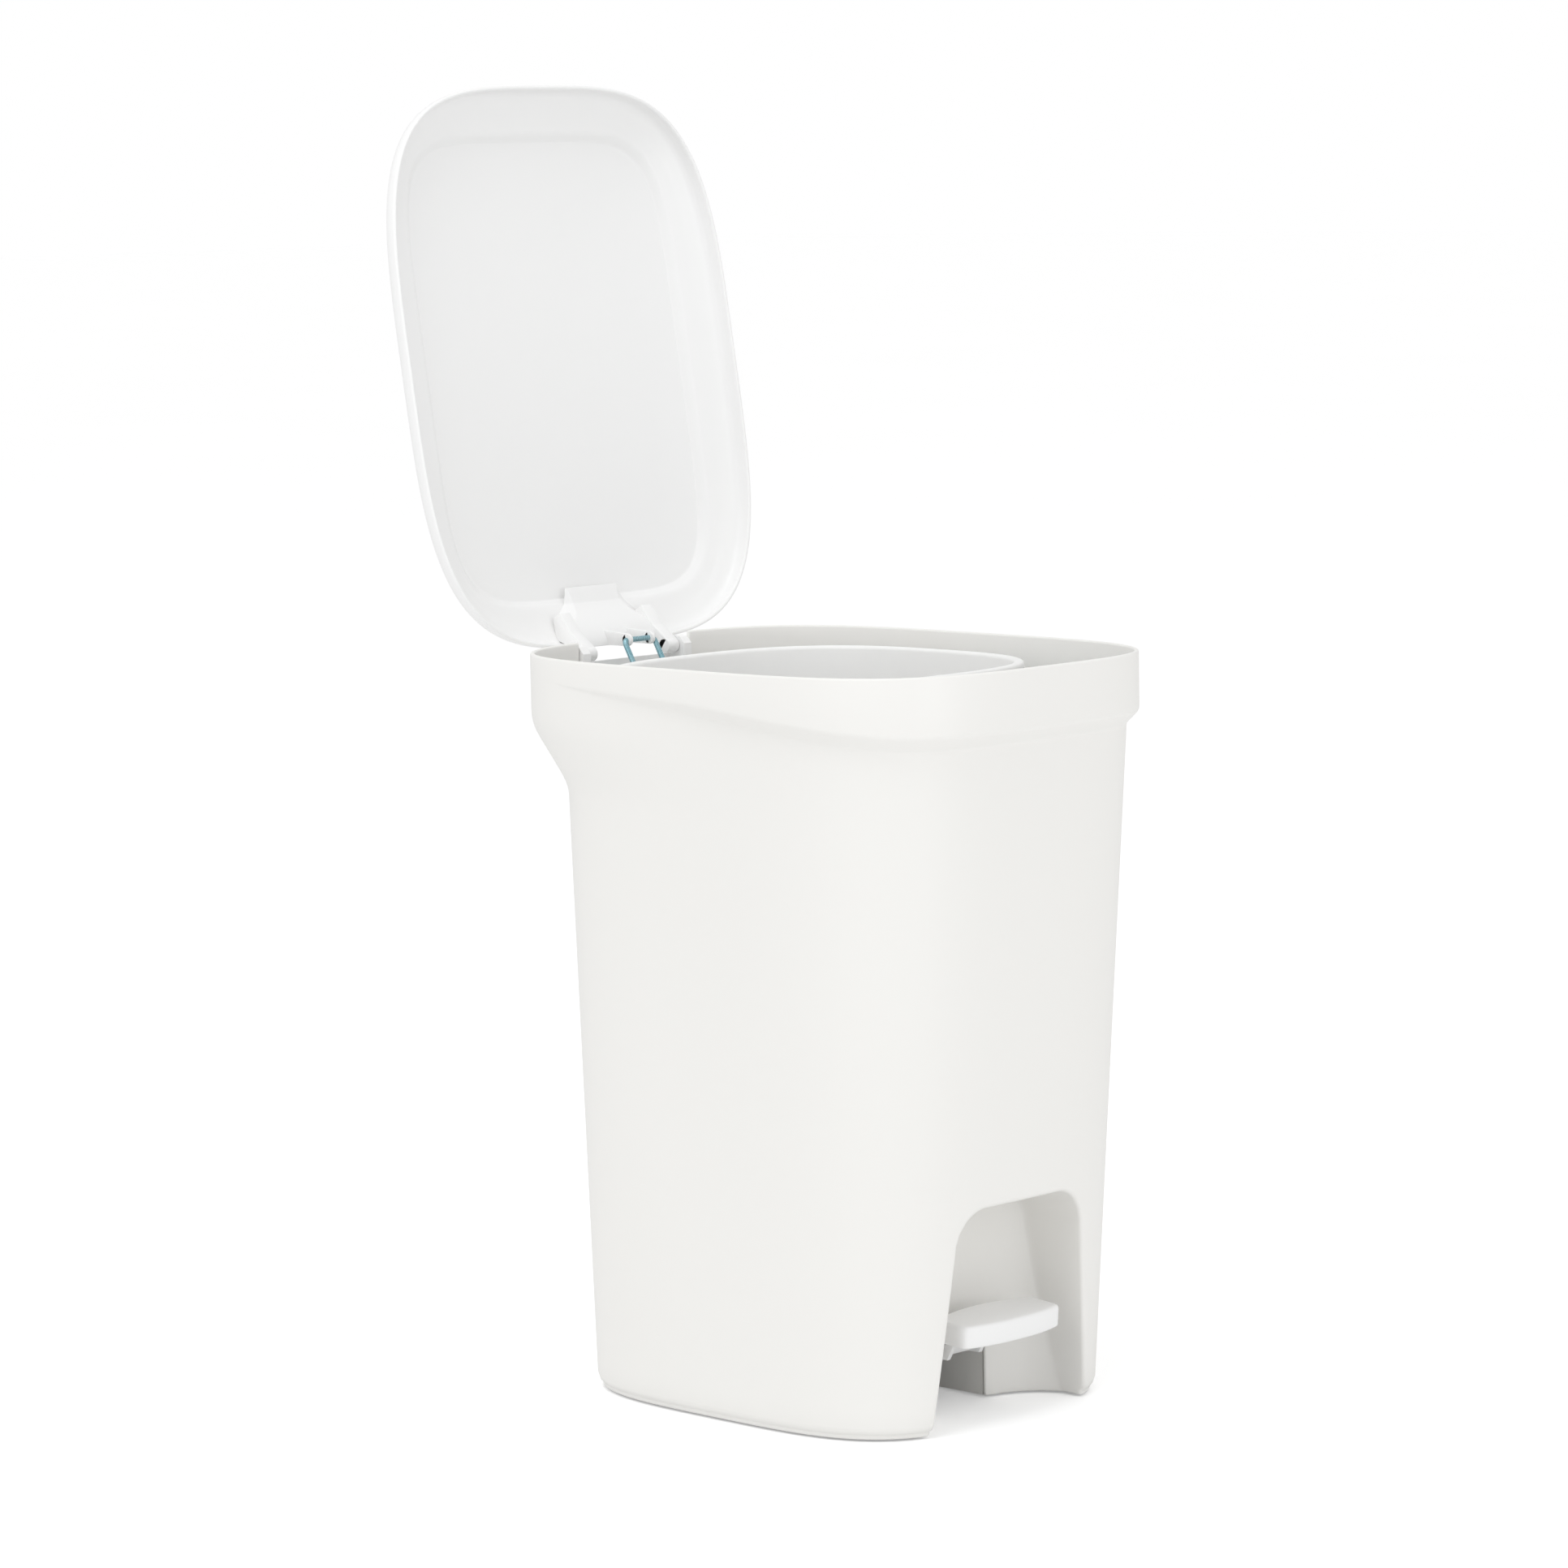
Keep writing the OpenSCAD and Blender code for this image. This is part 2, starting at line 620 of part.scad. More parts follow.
module hook_slot() {
    polygon(concat(
        [for (a = [-90:15:90]) [hook_y + slot_back + slot_r * cos(a), slot_z + slot_r * sin(a)]],
        [for (a = [90:15:270]) [hook_y - slot_front + slot_r * cos(a), slot_z + slot_r * sin(a)]]));
}
module lever_tail() {
    end = hook_y + slot_back + slot_r + 2;
    polygon([[lever_rear - 8, hook_z - lever_h - 2], [hook_y - 6, slot_z - slot_r - 2],
        [end - 1.5, slot_z - slot_r - 2], [end, slot_z - 2], [end, slot_z + 2],
        [end - 1.5, slot_z + slot_r + 2], [hook_y - 6, slot_z + slot_r + 2], [lever_rear - 8, hook_z - 2]]);
}
pin_out = lever_out + 2 + fit_gap + 5;
module pedal_pin() { color(steel) bar_x(-pin_out, pin_out, pivot_y, pivot_z, pivot_r); }

// --- pivot bridge -----------------------------------------------------------------------------
plate_t = floor_z - fit_gap;
module pivot_bridge() {
    ear_in = lever_out + 2 + fit_gap;
    half = bridge_half_x;
    color(white) difference() {
        union() {
            translate([-half, pivot_y - bridge_half_y, 0]) cube([2 * half, 2 * bridge_half_y, plate_t - 1.2]);
            translate([-channel_half + 1, pivot_y - bridge_half_y, 0])
                cube([2 * channel_half - 2, 2 * bridge_half_y, plate_t]);
            at_screws() cylinder(h = plate_t, r = 4.5, $fn = 48);
            both_sides() {
                along_x(ear_in, ear_in + 5) polygon([[pivot_y - 12, 0], [pivot_y + 12, 0],
                    [pivot_y + 6.5, pivot_z], [pivot_y - 6.5, pivot_z]]);
                bar_x(ear_in, ear_in + 5, pivot_y, pivot_z, 6.5);
            }
        }
        bar_x(-40, 40, pivot_y, pivot_z, pivot_r + run_gap / 2);
        at_screws() {
            translate([0, 0, -1]) cylinder(h = 20, r = screw_r + run_gap, $fn = 32);
            translate([0, 0, -1]) cylinder(h = 3, r = 3.1, $fn = 32);
        }
    }
}
module bridge_screws() {
    color(steel) at_screws() {
        translate([0, 0, 0.6]) cylinder(h = 1.4, r = 2.8, $fn = 32);
        translate([0, 0, 0.6]) cylinder(h = 15, r = screw_r, $fn = 32);
    }
}

// --- bucket and bail --------------------------------------------------------------------------
bucket_top = body_h - bucket_drop;
bucket_floor = deck_z + fit_gap;
function bucket_ring(grow, z) = let (m = (z - bucket_floor) / (bucket_top - bucket_floor))
    [for (i = [0:bucket_sides - 1]) let (t = 360 * i / bucket_sides)
        [outline_x(bucket_a - bucket_draft * (1 - m) + grow, t, bucket_square),
         bucket_y + outline_y(bucket_b - bucket_draft * (1 - m) + grow, t, bucket_square), z]];
bail_z = bucket_top - 20;
bail_reach = norm([bucket_b + bucket_lip, bucket_top - bail_z]) + grip_r + 0.6;
lug_end = bucket_a + 5;
bail_half = lug_end + 1 + bail_r;
bail_hole = bail_r + run_gap;
module inner_bucket() {
    color(cool_white) difference() {
        union() {
            loft([bucket_ring(-3, bucket_floor), bucket_ring(0, bucket_floor + 3),
                bucket_ring(0, bucket_top - 6), bucket_ring(bucket_lip, bucket_top - 5.5),
                bucket_ring(bucket_lip, bucket_top - 1), bucket_ring(bucket_lip - 1, bucket_top)]);
            both_sides() bar_x(bucket_a - 8, lug_end, bucket_y, bail_z, 6);
        }
        loft([bucket_ring(-4.5, bucket_floor + bucket_wall),
            bucket_ring(-bucket_wall, bucket_floor + bucket_wall + 3),
            bucket_ring(-bucket_wall, bucket_top - 1), bucket_ring(-bucket_wall + 0.8, bucket_top + 2)]);
        both_sides() bar_x(bucket_a - 4.5, lug_end + 1, bucket_y, bail_z, bail_hole);
    }
}
// The bail's path in plan: from one pivot round the front to the other
bail_steps = 12;
bail_arm = [for (i = [0:bail_steps]) let (t = 90 * i / bail_steps)
    [grip_half + 4 + (bail_half - grip_half - 4) * sqrt(cos(t)), -bail_reach * pow(sin(t), 0.75)]];
bail_path = concat(bail_arm, [for (i = [bail_steps:-1:0]) [-bail_arm[i][0], bail_arm[i][1]]]);
module bail() {
    color(steel) {
        translate([0, bucket_y, 0]) flat_wire(bail_path, bail_z, bail_r - 0.04);
        both_sides() bar_x(bucket_a - 3.5, bail_half + bail_r, bucket_y, bail_z, bail_r, 32);
    }
}
module bail_grip() {
    color(cool_white) difference() {
        bar_x(-grip_half, grip_half, bucket_y - bail_reach, bail_z, grip_r);
        bar_x(-grip_half - 1, grip_half + 1, bucket_y - bail_reach, bail_z, bail_r + 0.1, 32);
    }
}

outer_body();
hinge_block();
hinge_pin_left();
hinge_pin_right();
lid();
lift_wire();
pedal();
pedal_pin();
pivot_bridge();
bridge_screws();
inner_bucket();
bail();
bail_grip();
foot_front_left();
foot_front_right();
foot_rear_left();
foot_rear_right();
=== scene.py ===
# A pedal trash can with its lid open: shells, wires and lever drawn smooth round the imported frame.
import math

import bmesh
import bpy
from mathutils import Matrix, Vector


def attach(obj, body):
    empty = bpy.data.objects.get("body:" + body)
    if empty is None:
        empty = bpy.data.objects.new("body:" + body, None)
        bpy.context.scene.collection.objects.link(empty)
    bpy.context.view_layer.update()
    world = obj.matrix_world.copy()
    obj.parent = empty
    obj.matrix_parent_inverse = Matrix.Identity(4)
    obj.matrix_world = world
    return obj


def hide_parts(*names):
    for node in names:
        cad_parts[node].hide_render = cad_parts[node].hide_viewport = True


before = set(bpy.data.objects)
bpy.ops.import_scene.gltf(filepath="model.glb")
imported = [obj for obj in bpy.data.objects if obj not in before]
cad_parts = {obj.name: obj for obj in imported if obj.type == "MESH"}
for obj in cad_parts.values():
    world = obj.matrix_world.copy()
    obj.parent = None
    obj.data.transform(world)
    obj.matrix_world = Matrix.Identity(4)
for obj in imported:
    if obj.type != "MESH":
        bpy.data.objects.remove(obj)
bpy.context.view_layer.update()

MM = 0.001

# --- sizes of the real pieces, in millimetres -----------------------------------------------------
BODY_H, RIM_A, RIM_B, SQUARE, WALL = 400, 122.5, 153, 3.65, 2.5
BAND_FRONT, BAND_REAR, BAND_SLANT = 39, 7, 7
WALL_TOP = BODY_H - BAND_FRONT
TOP_A, TOP_B, TOP_Y = 117, 137.4, -8.4
FOOT_A, FOOT_B, FOOT_Y = 104, 124.4, -0.4
FLARE_LOW, FLARE_HIGH = 330, 362
RING_IN = 2.2
NICHE_HALF, NICHE_TOP_HALF, NICHE_H, NICHE_R = 60, 49, 118, 21
NICHE_BACK = -77.8
CHANNEL_HALF, CHANNEL_H, CHANNEL_BACK = 27, 80, 119.3
DECK = 82.5
HINGE_Y, HINGE_Z, OPEN_ANGLE = 154.5, 392.5, 99.4
LID_A, LID_B, LID_Y, LID_LOW = 125.5, 156, -6, 401.3
PIVOT_Y, PIVOT_Z = 15, 34
HOOK_Y, HOOK_Z = 109, 58
BUCKET_Y, BUCKET_TOP, BUCKET_FLOOR = 11, 392, 82.8


# --- outlines and rounding ------------------------------------------------------------------------
def power(v, n):
    return math.copysign(abs(v) ** (2 / n), v)


def mix(p, q, m):
    return p * (1 - m) + q * m


def smooth_step(v):
    v = max(0.0, min(1.0, v))
    return v * v * (3 - 2 * v)


def run_along(points):
    """The distance run along a path when each of its points is reached."""
    run = [0.0]
    for p, q in zip(points, points[1:]):
        run.append(run[-1] + math.dist(p, q))
    return run


def even_angles(a, b, n, count):
    """Angles that space `count` points evenly along a squared-off oval."""
    fine = 6000
    pts = [(a * power(math.cos(t), n), b * power(math.sin(t), n))
           for t in (2 * math.pi * i / fine for i in range(fine + 1))]
    run = run_along(pts)
    angles, k = [], 0
    for i in range(count):
        want = run[-1] * i / count
        while run[k + 1] < want:
            k += 1
        part = (want - run[k]) / max(run[k + 1] - run[k], 1e-9)
        angles.append(2 * math.pi * (k + part) / fine)
    return angles


def rounded(points, radii, steps=5):
    """A path with its inner corners rounded off over the given distances."""
    out = [points[0]]
    for i in range(1, len(points) - 1):
        r, p = radii[i], points[i]
        if not r:
            out.append(p)
            continue
        a, b = points[i - 1] - p, points[i + 1] - p
        a = a * min(r / max(a.length, 1e-6), 0.45)
        b = b * min(r / max(b.length, 1e-6), 0.45)
        for k in range(steps + 1):
            s = k / steps
            out.append(p + a * (1 - s) ** 2 + b * s ** 2)
    out.append(points[-1])
    return out


# --- meshes ---------------------------------------------------------------------------------------
def grid_faces(rows, cols, closed):
    faces = []
    for j in range(rows - 1):
        for i in range(cols if closed else cols - 1):
            k = (i + 1) % cols
            faces.append((j * cols + i, j * cols + k, (j + 1) * cols + k, (j + 1) * cols + i))
    return faces


def thicken(bm, t, steps=6):
    """Gives a sheet its wall thickness, on the side away from its normals, with half-round open edges."""
    bm.normal_update()
    sheet_faces = list(bm.faces)
    outer = list(bm.verts)
    normal = {v: v.normal.copy() for v in outer}
    edges = [e for e in bm.edges if len(e.link_faces) == 1]
    out = {}
    for e in edges:
        f = e.link_faces[0]
        a, b = e.verts
        side = (b.co - a.co).cross(f.normal)
        if side.dot((a.co + b.co) / 2 - f.calc_center_median()) < 0:
            side.negate()
        side.normalize()
        for v in (a, b):
            out[v] = out.get(v, Vector((0, 0, 0))) + side
    inner = {v: bm.verts.new(v.co - normal[v] * t) for v in outer}
    for f in sheet_faces:
        bm.faces.new([inner[v] for v in reversed(f.verts)])
    strip = {}
    for v, side in out.items():
        side = side - normal[v] * side.dot(normal[v])
        side.normalize()
        mid = v.co - normal[v] * t / 2
        strip[v] = [v] + [bm.verts.new(mid + normal[v] * (t / 2) * math.cos(math.pi * k / steps)
                                       + side * (t / 2) * math.sin(math.pi * k / steps))
                          for k in range(1, steps)] + [inner[v]]
    for e in edges:
        f = e.link_faces[0]
        a, b = next(((l.vert, l.link_loop_next.vert) for l in f.loops if l.edge == e))
        for k in range(steps):
            bm.faces.new([strip[b][k], strip[a][k], strip[a][k + 1], strip[b][k + 1]])
    bm.normal_update()


def finish_piece(name, bm, material, body, node=None, sharp=None):
    """Turns millimetres into metres, hands the piece its finish and sets it on its CAD body."""
    bmesh.ops.transform(bm, matrix=Matrix.Scale(MM, 4), verts=bm.verts)
    mesh = bpy.data.meshes.new(name)
    bm.to_mesh(mesh)
    bm.free()
    mesh.polygons.foreach_set("use_smooth", [True] * len(mesh.polygons))
    if sharp:
        mesh.set_sharp_from_angle(angle=math.radians(sharp))
    piece = bpy.data.objects.new(name, mesh)
    bpy.context.scene.collection.objects.link(piece)
    mesh.materials.append(material)
    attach(piece, body)
    if node:
        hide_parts(node)
    return piece


def sheet_mesh(rows, closed=True, cap=None):
    """A sheet through rows of points; `cap` closes the first row round a middle point."""
    bm = bmesh.new()
    verts = [bm.verts.new(p) for row in rows for p in row]
    cols = len(rows[0])
    for f in grid_faces(len(rows), cols, closed):
        bm.faces.new([verts[i] for i in f])
    if cap is not None:
        middle = bm.verts.new(cap)
        for i in range(cols):
            bm.faces.new([middle, verts[(i + 1) % cols], verts[i]])
    return bm


def close_rings(bm, rings):
    """Faces between each ring of corners and the next, with the first and the last filled in."""
    for a, b in zip(rings, rings[1:]):
        for i in range(len(a)):
            k = (i + 1) % len(a)
            bm.faces.new([a[i], a[k], b[k], b[i]])
    bm.faces.new(list(reversed(rings[0])))
    bm.faces.new(rings[-1])


def turned(profile, y, z, count=56, both=False):
    """A turned shape about a line along X, from (x, radius) pairs; `both` adds its mirror image."""
    bm = bmesh.new()
    for sign in ((1, -1) if both else (1,)):
        rings = [[bm.verts.new((sign * x, y + r * math.cos(2 * math.pi * i / count),
                                z + r * math.sin(2 * math.pi * i / count))) for i in range(count)]
                 for x, r in profile]
        close_rings(bm, rings)
    bmesh.ops.recalc_face_normals(bm, faces=bm.faces)
    return bm


def plates(parts, edge=0.6):
    """Plates square to X with softened edges, from (outline in Y and Z, x0, x1)."""
    bm = bmesh.new()
    for outline, x0, x1 in parts:
        part = bmesh.new()
        low = [part.verts.new((x0, y, z)) for y, z in outline]
        high = [part.verts.new((x1, y, z)) for y, z in outline]
        close_rings(part, [low, high])
        bmesh.ops.recalc_face_normals(part, faces=part.faces)
        bmesh.ops.bevel(part, geom=list(part.edges), offset=edge, segments=2, profile=0.5, affect="EDGES",
                        clamp_overlap=True)
        kept = bpy.data.meshes.new("plate")
        part.to_mesh(kept)
        part.free()
        bm.from_mesh(kept)
        bpy.data.meshes.remove(kept)
    return bm


def rod(path, r, count=20):
    """A round rod along a path, with closed ends."""
    bm = bmesh.new()
    rings = []
    side = None
    for i, p in enumerate(path):
        along = (path[min(i + 1, len(path) - 1)] - path[max(i - 1, 0)]).normalized()
        if side is None:
            side = along.orthogonal().normalized()
        side = (side - along * side.dot(along)).normalized()
        other = along.cross(side)
        rings.append([bm.verts.new(p + (side * math.cos(2 * math.pi * k / count)
                                        + other * math.sin(2 * math.pi * k / count)) * r)
                      for k in range(count)])
    close_rings(bm, rings)
    bmesh.ops.recalc_face_normals(bm, faces=bm.faces)
    return bm


# --- finishes -------------------------------------------------------------------------------------
def new_group(name, inputs):
    """An effect group that gives a colour, a roughness and a height for the bump."""
    group = bpy.data.node_groups.new(name, "ShaderNodeTree")
    for label, kind, value in inputs:
        socket = group.interface.new_socket(name=label, in_out="INPUT", socket_type=kind)
        socket.default_value = value
    for label, kind in (("Colour", "NodeSocketColor"), ("Roughness", "NodeSocketFloat"),
                        ("Height", "NodeSocketFloat")):
        group.interface.new_socket(name=label, in_out="OUTPUT", socket_type=kind)
    return group, group.nodes.new("NodeGroupInput"), group.nodes.new("NodeGroupOutput")


def noise(tree, coords, scale, detail=3.0, rough=0.5, stretch=None):
    """A noise texture over the piece's own coordinates, stretched if a stretch is given."""
    node = tree.nodes.new("ShaderNodeTexNoise")
    node.inputs["Detail"].default_value = detail
    node.inputs["Roughness"].default_value = rough
    if isinstance(scale, (int, float)):
        node.inputs["Scale"].default_value = scale
    else:
        tree.links.new(scale, node.inputs["Scale"])
    if stretch:
        mapping = tree.nodes.new("ShaderNodeMapping")
        mapping.inputs["Scale"].default_value = stretch
        tree.links.new(coords, mapping.inputs["Vector"])
        coords = mapping.outputs["Vector"]
    tree.links.new(coords, node.inputs["Vector"])
    return node.outputs["Fac"]


def spread(tree, value, low, high, to_low, to_high):
    node = tree.nodes.new("ShaderNodeMapRange")
    for label, v in (("From Min", low), ("From Max", high), ("To Min", to_low), ("To Max", to_high)):
        if isinstance(v, (int, float)):
            node.inputs[label].default_value = v
        else:
            tree.links.new(v, node.inputs[label])
    tree.links.new(value, node.inputs["Value"])
    return node.outputs["Result"]


def blend_colour(tree, factor, a, b, how="MIX"):
    node = tree.nodes.new("ShaderNodeMix")
    node.data_type = "RGBA"
    node.blend_type = how
    for socket, v in ((node.inputs[0], factor), (node.inputs[6], a), (node.inputs[7], b)):
        if isinstance(v, (int, float, tuple)):
            socket.default_value = v
        else:
            tree.links.new(v, socket)
    return node.outputs[2]


def add(tree, a, b):
    node = tree.nodes.new("ShaderNodeMath")
    node.operation = "ADD"
    tree.links.new(a, node.inputs[0])
    tree.links.new(b, node.inputs[1])
    return node.outputs[0]


def moulded_skin():
    """Injection-moulded plastic: faint flow shades, a fine spark-eroded grain and rubbed patches."""
    group, given, made = new_group(
        "Moulded skin",
        [("Colour", "NodeSocketColor", (0.9, 0.9, 0.9, 1)),
         ("Shade", "NodeSocketColor", (0.86, 0.86, 0.84, 1)),
         ("Gloss", "NodeSocketFloat", 0.3), ("Grain scale", "NodeSocketFloat", 900.0)])
    coords = group.nodes.new("ShaderNodeTexCoord").outputs["Object"]
    flow = noise(group, coords, 5.0, 1.0, 0.4, (1.0, 1.0, 0.5))
    shade = spread(group, flow, 0.3, 0.75, 0.0, 1.0)
    colour = blend_colour(group, shade, given.outputs["Colour"], given.outputs["Shade"])
    group.links.new(colour, made.inputs["Colour"])
    rubs = noise(group, coords, 24.0, 4.0, 0.6, (1.0, 1.0, 0.5))
    rubbed = spread(group, rubs, 0.3, 0.7, -0.03, 0.05)
    group.links.new(add(group, rubbed, given.outputs["Gloss"]), made.inputs["Roughness"])
    grain = noise(group, coords, given.outputs["Grain scale"], 3.0, 0.55)
    group.links.new(grain, made.inputs["Height"])
    return group


def plated_wire():
    """Drawn steel with blue zinc plating: lines along the wire, cloudy plating and dull bloom."""
    group, given, made = new_group(
        "Plated wire",
        [("Colour", "NodeSocketColor", (0.3, 0.4, 0.45, 1)),
         ("Bloom", "NodeSocketColor", (0.5, 0.55, 0.56, 1)),
         ("Gloss", "NodeSocketFloat", 0.28)])
    coords = group.nodes.new("ShaderNodeTexCoord").outputs["Object"]
    clouds = spread(group, noise(group, coords, 90.0, 4.0, 0.6), 0.4, 0.72, 0.0, 0.8)
    lines = noise(group, coords, 1400.0, 2.0, 0.5, (1.0, 1.0, 0.06))
    colour = blend_colour(group, clouds, given.outputs["Colour"], given.outputs["Bloom"])
    group.links.new(colour, made.inputs["Colour"])
    drawn = spread(group, lines, 0.3, 0.7, -0.06, 0.1)
    group.links.new(add(group, drawn, given.outputs["Gloss"]), made.inputs["Roughness"])
    group.links.new(lines, made.inputs["Height"])
    return group


def new_material(name):
    """A new material, its node tree and its shader."""
    material = bpy.data.materials.new(name)
    material.use_nodes = True
    tree = material.node_tree
    return material, tree, next(n for n in tree.nodes if n.type == "BSDF_PRINCIPLED")


def finish_from(name, group, values, bump, distance, **fixed):
    """A material from one of the effect groups, with its uniform numbers set on the shader itself."""
    material, tree, shader = new_material(name)
    effect = tree.nodes.new("ShaderNodeGroup")
    effect.node_tree = group
    for label, v in values.items():
        effect.inputs[label].default_value = v
    tree.links.new(effect.outputs["Colour"], shader.inputs["Base Color"])
    tree.links.new(effect.outputs["Roughness"], shader.inputs["Roughness"])
    relief = tree.nodes.new("ShaderNodeBump")
    relief.inputs["Strength"].default_value = bump
    relief.inputs["Distance"].default_value = distance
    tree.links.new(effect.outputs["Height"], relief.inputs["Height"])
    tree.links.new(relief.outputs["Normal"], shader.inputs["Normal"])
    for label, v in fixed.items():
        shader.inputs[label.replace("_", " ")].default_value = v
    return material


skin_group, wire_group = moulded_skin(), plated_wire()
body_white = finish_from(
    "body white", skin_group,
    {"Colour": (0.91, 0.90, 0.872, 1), "Shade": (0.895, 0.884, 0.855, 1),
     "Gloss": 0.40, "Grain scale": 1100.0},
    0.05, 0.0002, IOR=1.49)
lid_white = finish_from(
    "lid white", skin_group,
    {"Colour": (0.945, 0.942, 0.935, 1), "Shade": (0.932, 0.93, 0.925, 1),
     "Gloss": 0.32, "Grain scale": 1100.0},
    0.04, 0.0002, IOR=1.49)
bucket_white = finish_from(
    "bucket white", skin_group,
    {"Colour": (0.93, 0.928, 0.915, 1), "Shade": (0.915, 0.912, 0.9, 1),
     "Gloss": 0.42, "Grain scale": 700.0},
    0.1, 0.0003, IOR=1.49)
blue_steel = finish_from(
    "blue plated steel", wire_group,
    {"Colour": (0.24, 0.44, 0.50, 1), "Bloom": (0.40, 0.56, 0.60, 1), "Gloss": 0.28},
    0.25, 0.0002, Metallic=0.6)
pin_steel = finish_from(
    "bright steel", wire_group,
    {"Colour": (0.42, 0.44, 0.45, 1), "Bloom": (0.55, 0.56, 0.56, 1), "Gloss": 0.24},
    0.2, 0.0002, Metallic=1.0)
grey_rubber = finish_from(
    "grey rubber", skin_group,
    {"Colour": (0.20, 0.20, 0.195, 1), "Shade": (0.27, 0.265, 0.255, 1),
     "Gloss": 0.75, "Grain scale": 500.0},
    0.5, 0.0005, IOR=1.5)


# --- outer body -----------------------------------------------------------------------------------
def wall_size(z):
    m = z / WALL_TOP
    return mix(FOOT_A, TOP_A, m), mix(FOOT_B, TOP_B, m), mix(FOOT_Y, TOP_Y, m)


def body_point(t, z, m=0.0, inset=0.0):
    a, b, y = wall_size(z)
    c, s = power(math.cos(t), SQUARE), power(math.sin(t), SQUARE)
    return Vector((mix((a - inset) * c, (RIM_A - inset) * c, m),
                   mix(y + (b - inset) * s, (RIM_B - inset) * s, m), z))


def flare(t):
    return smooth_step((RIM_B * power(math.sin(t), SQUARE) + 35) / 140)


def band_low(t):
    return mix(WALL_TOP, BODY_H - BAND_REAR,
               max(0, min(1, (RIM_B * power(math.sin(t), SQUARE) + RIM_B - 13) / (2 * RIM_B - 16))))


# Heights of the wall's rows: the low ones are the set-in foot ring, and the niche's patch ends at PATCH_ROW
LOW_ROWS = [(2.25, RING_IN), (4.0, RING_IN), (4.8, 0.8), (8.0, 0.0)]
PATCH_STEPS = 16
PATCH_TOP = 136
PATCH_ROW = len(LOW_ROWS) - 1 + PATCH_STEPS
PATCH_HALF = NICHE_HALF + 14
BODY_COLUMNS = 240
LIP = 3.0
NOTCH_HALF, NOTCH_LOW = 42.3, 366


def body_column(t):
    low = [body_point(t, z, 0, inset) for z, inset in LOW_ROWS]
    wall = [body_point(t, 8 + (PATCH_TOP - 8) * k / PATCH_STEPS) for k in range(1, PATCH_STEPS + 1)]
    wall += [body_point(t, mix(PATCH_TOP, FLARE_LOW - 12, k / 14)) for k in range(1, 15)]
    f, band = flare(t), band_low(t)
    upper = [wall[-1], body_point(t, FLARE_LOW), body_point(t, min(FLARE_HIGH, band - 5), f),
             body_point(t, band, f), body_point(t, band + 0.5 + (BAND_SLANT - 0.5) * (1 - f), 1),
             body_point(t, BODY_H - WALL / 2, 1)]
    return low + wall + rounded(upper, [0, 9, 7, 1.6, 1.8, 0])[1:]


def front_face(x, z, inset=0.0):
    a, b, y = wall_size(z)
    return y - (b - inset) * (1 - abs(x / (a - inset)) ** SQUARE) ** (1 / SQUARE)


def walk(path, steps):
    """Points spread evenly along a path of (x, z) pairs."""
    run = run_along(path)
    out, k = [], 0
    for i in range(steps + 1):
        want = run[-1] * i / steps
        while k < len(path) - 2 and run[k + 1] < want:
            k += 1
        part = (want - run[k]) / (run[k + 1] - run[k])
        out.append((mix(path[k][0], path[k + 1][0], part), mix(path[k][1], path[k + 1][1], part)))
    return out


def arch_side(grow, z):
    """Half width of the niche's leaning side at a height."""
    top = NICHE_H - NICHE_R
    return mix(NICHE_HALF, NICHE_TOP_HALF, (z + 2) / (top + 2)) + grow


def arch_line(grow, across):
    """The niche's outline from its left foot over the arch to its right foot, in the patch's steps."""
    half, r = NICHE_TOP_HALF + grow, NICHE_R + grow
    cx, cz = half - r, NICHE_H + grow - r

    def bend(first, last):
        return [(-cx - r * math.cos(math.radians(a)), cz + r * math.sin(math.radians(a)))
                for a in range(first, last, 3)]

    left = walk([(-arch_side(grow, 8), 8)] + bend(0, 46), PATCH_STEPS)
    over = bend(45, 91)
    top = walk(over + [(-x, z) for x, z in reversed(over)], across)
    low = [(-arch_side(grow, z), z) for z, _ in LOW_ROWS[:-1]]
    left = low + left
    return left + top[1:-1] + [(-x, z) for x, z in reversed(left)]


LEVER_PASS_LOW, LEVER_PASS_TOP, LEVER_PASS_HALF = 46, 50.5, 16


def passage_line(across):
    """Outline of the lever's opening in the niche's back wall, in the same steps."""
    left = [(-CHANNEL_HALF, z) for z, _ in LOW_ROWS[:-1]]
    left += [(-CHANNEL_HALF, mix(8, LEVER_PASS_LOW, k / 9)) for k in range(10)]
    left += [(-mix(CHANNEL_HALF, LEVER_PASS_HALF, k / 2), LEVER_PASS_LOW) for k in (1, 2)]
    left += [(-LEVER_PASS_HALF, mix(LEVER_PASS_LOW, LEVER_PASS_TOP, k / 5)) for k in range(1, 6)]
    top = [(mix(-LEVER_PASS_HALF, LEVER_PASS_HALF, k / across), LEVER_PASS_TOP) for k in range(1, across)]
    return left + top + [(-x, z) for x, z in reversed(left)]


def bay(x):
    """Depth of the niche's rounded bay at a distance from the middle."""
    return NICHE_BACK - 60 + 60 * (1 - min(1.0, abs(x) / (NICHE_HALF + 4)) ** 3) ** (1 / 3)


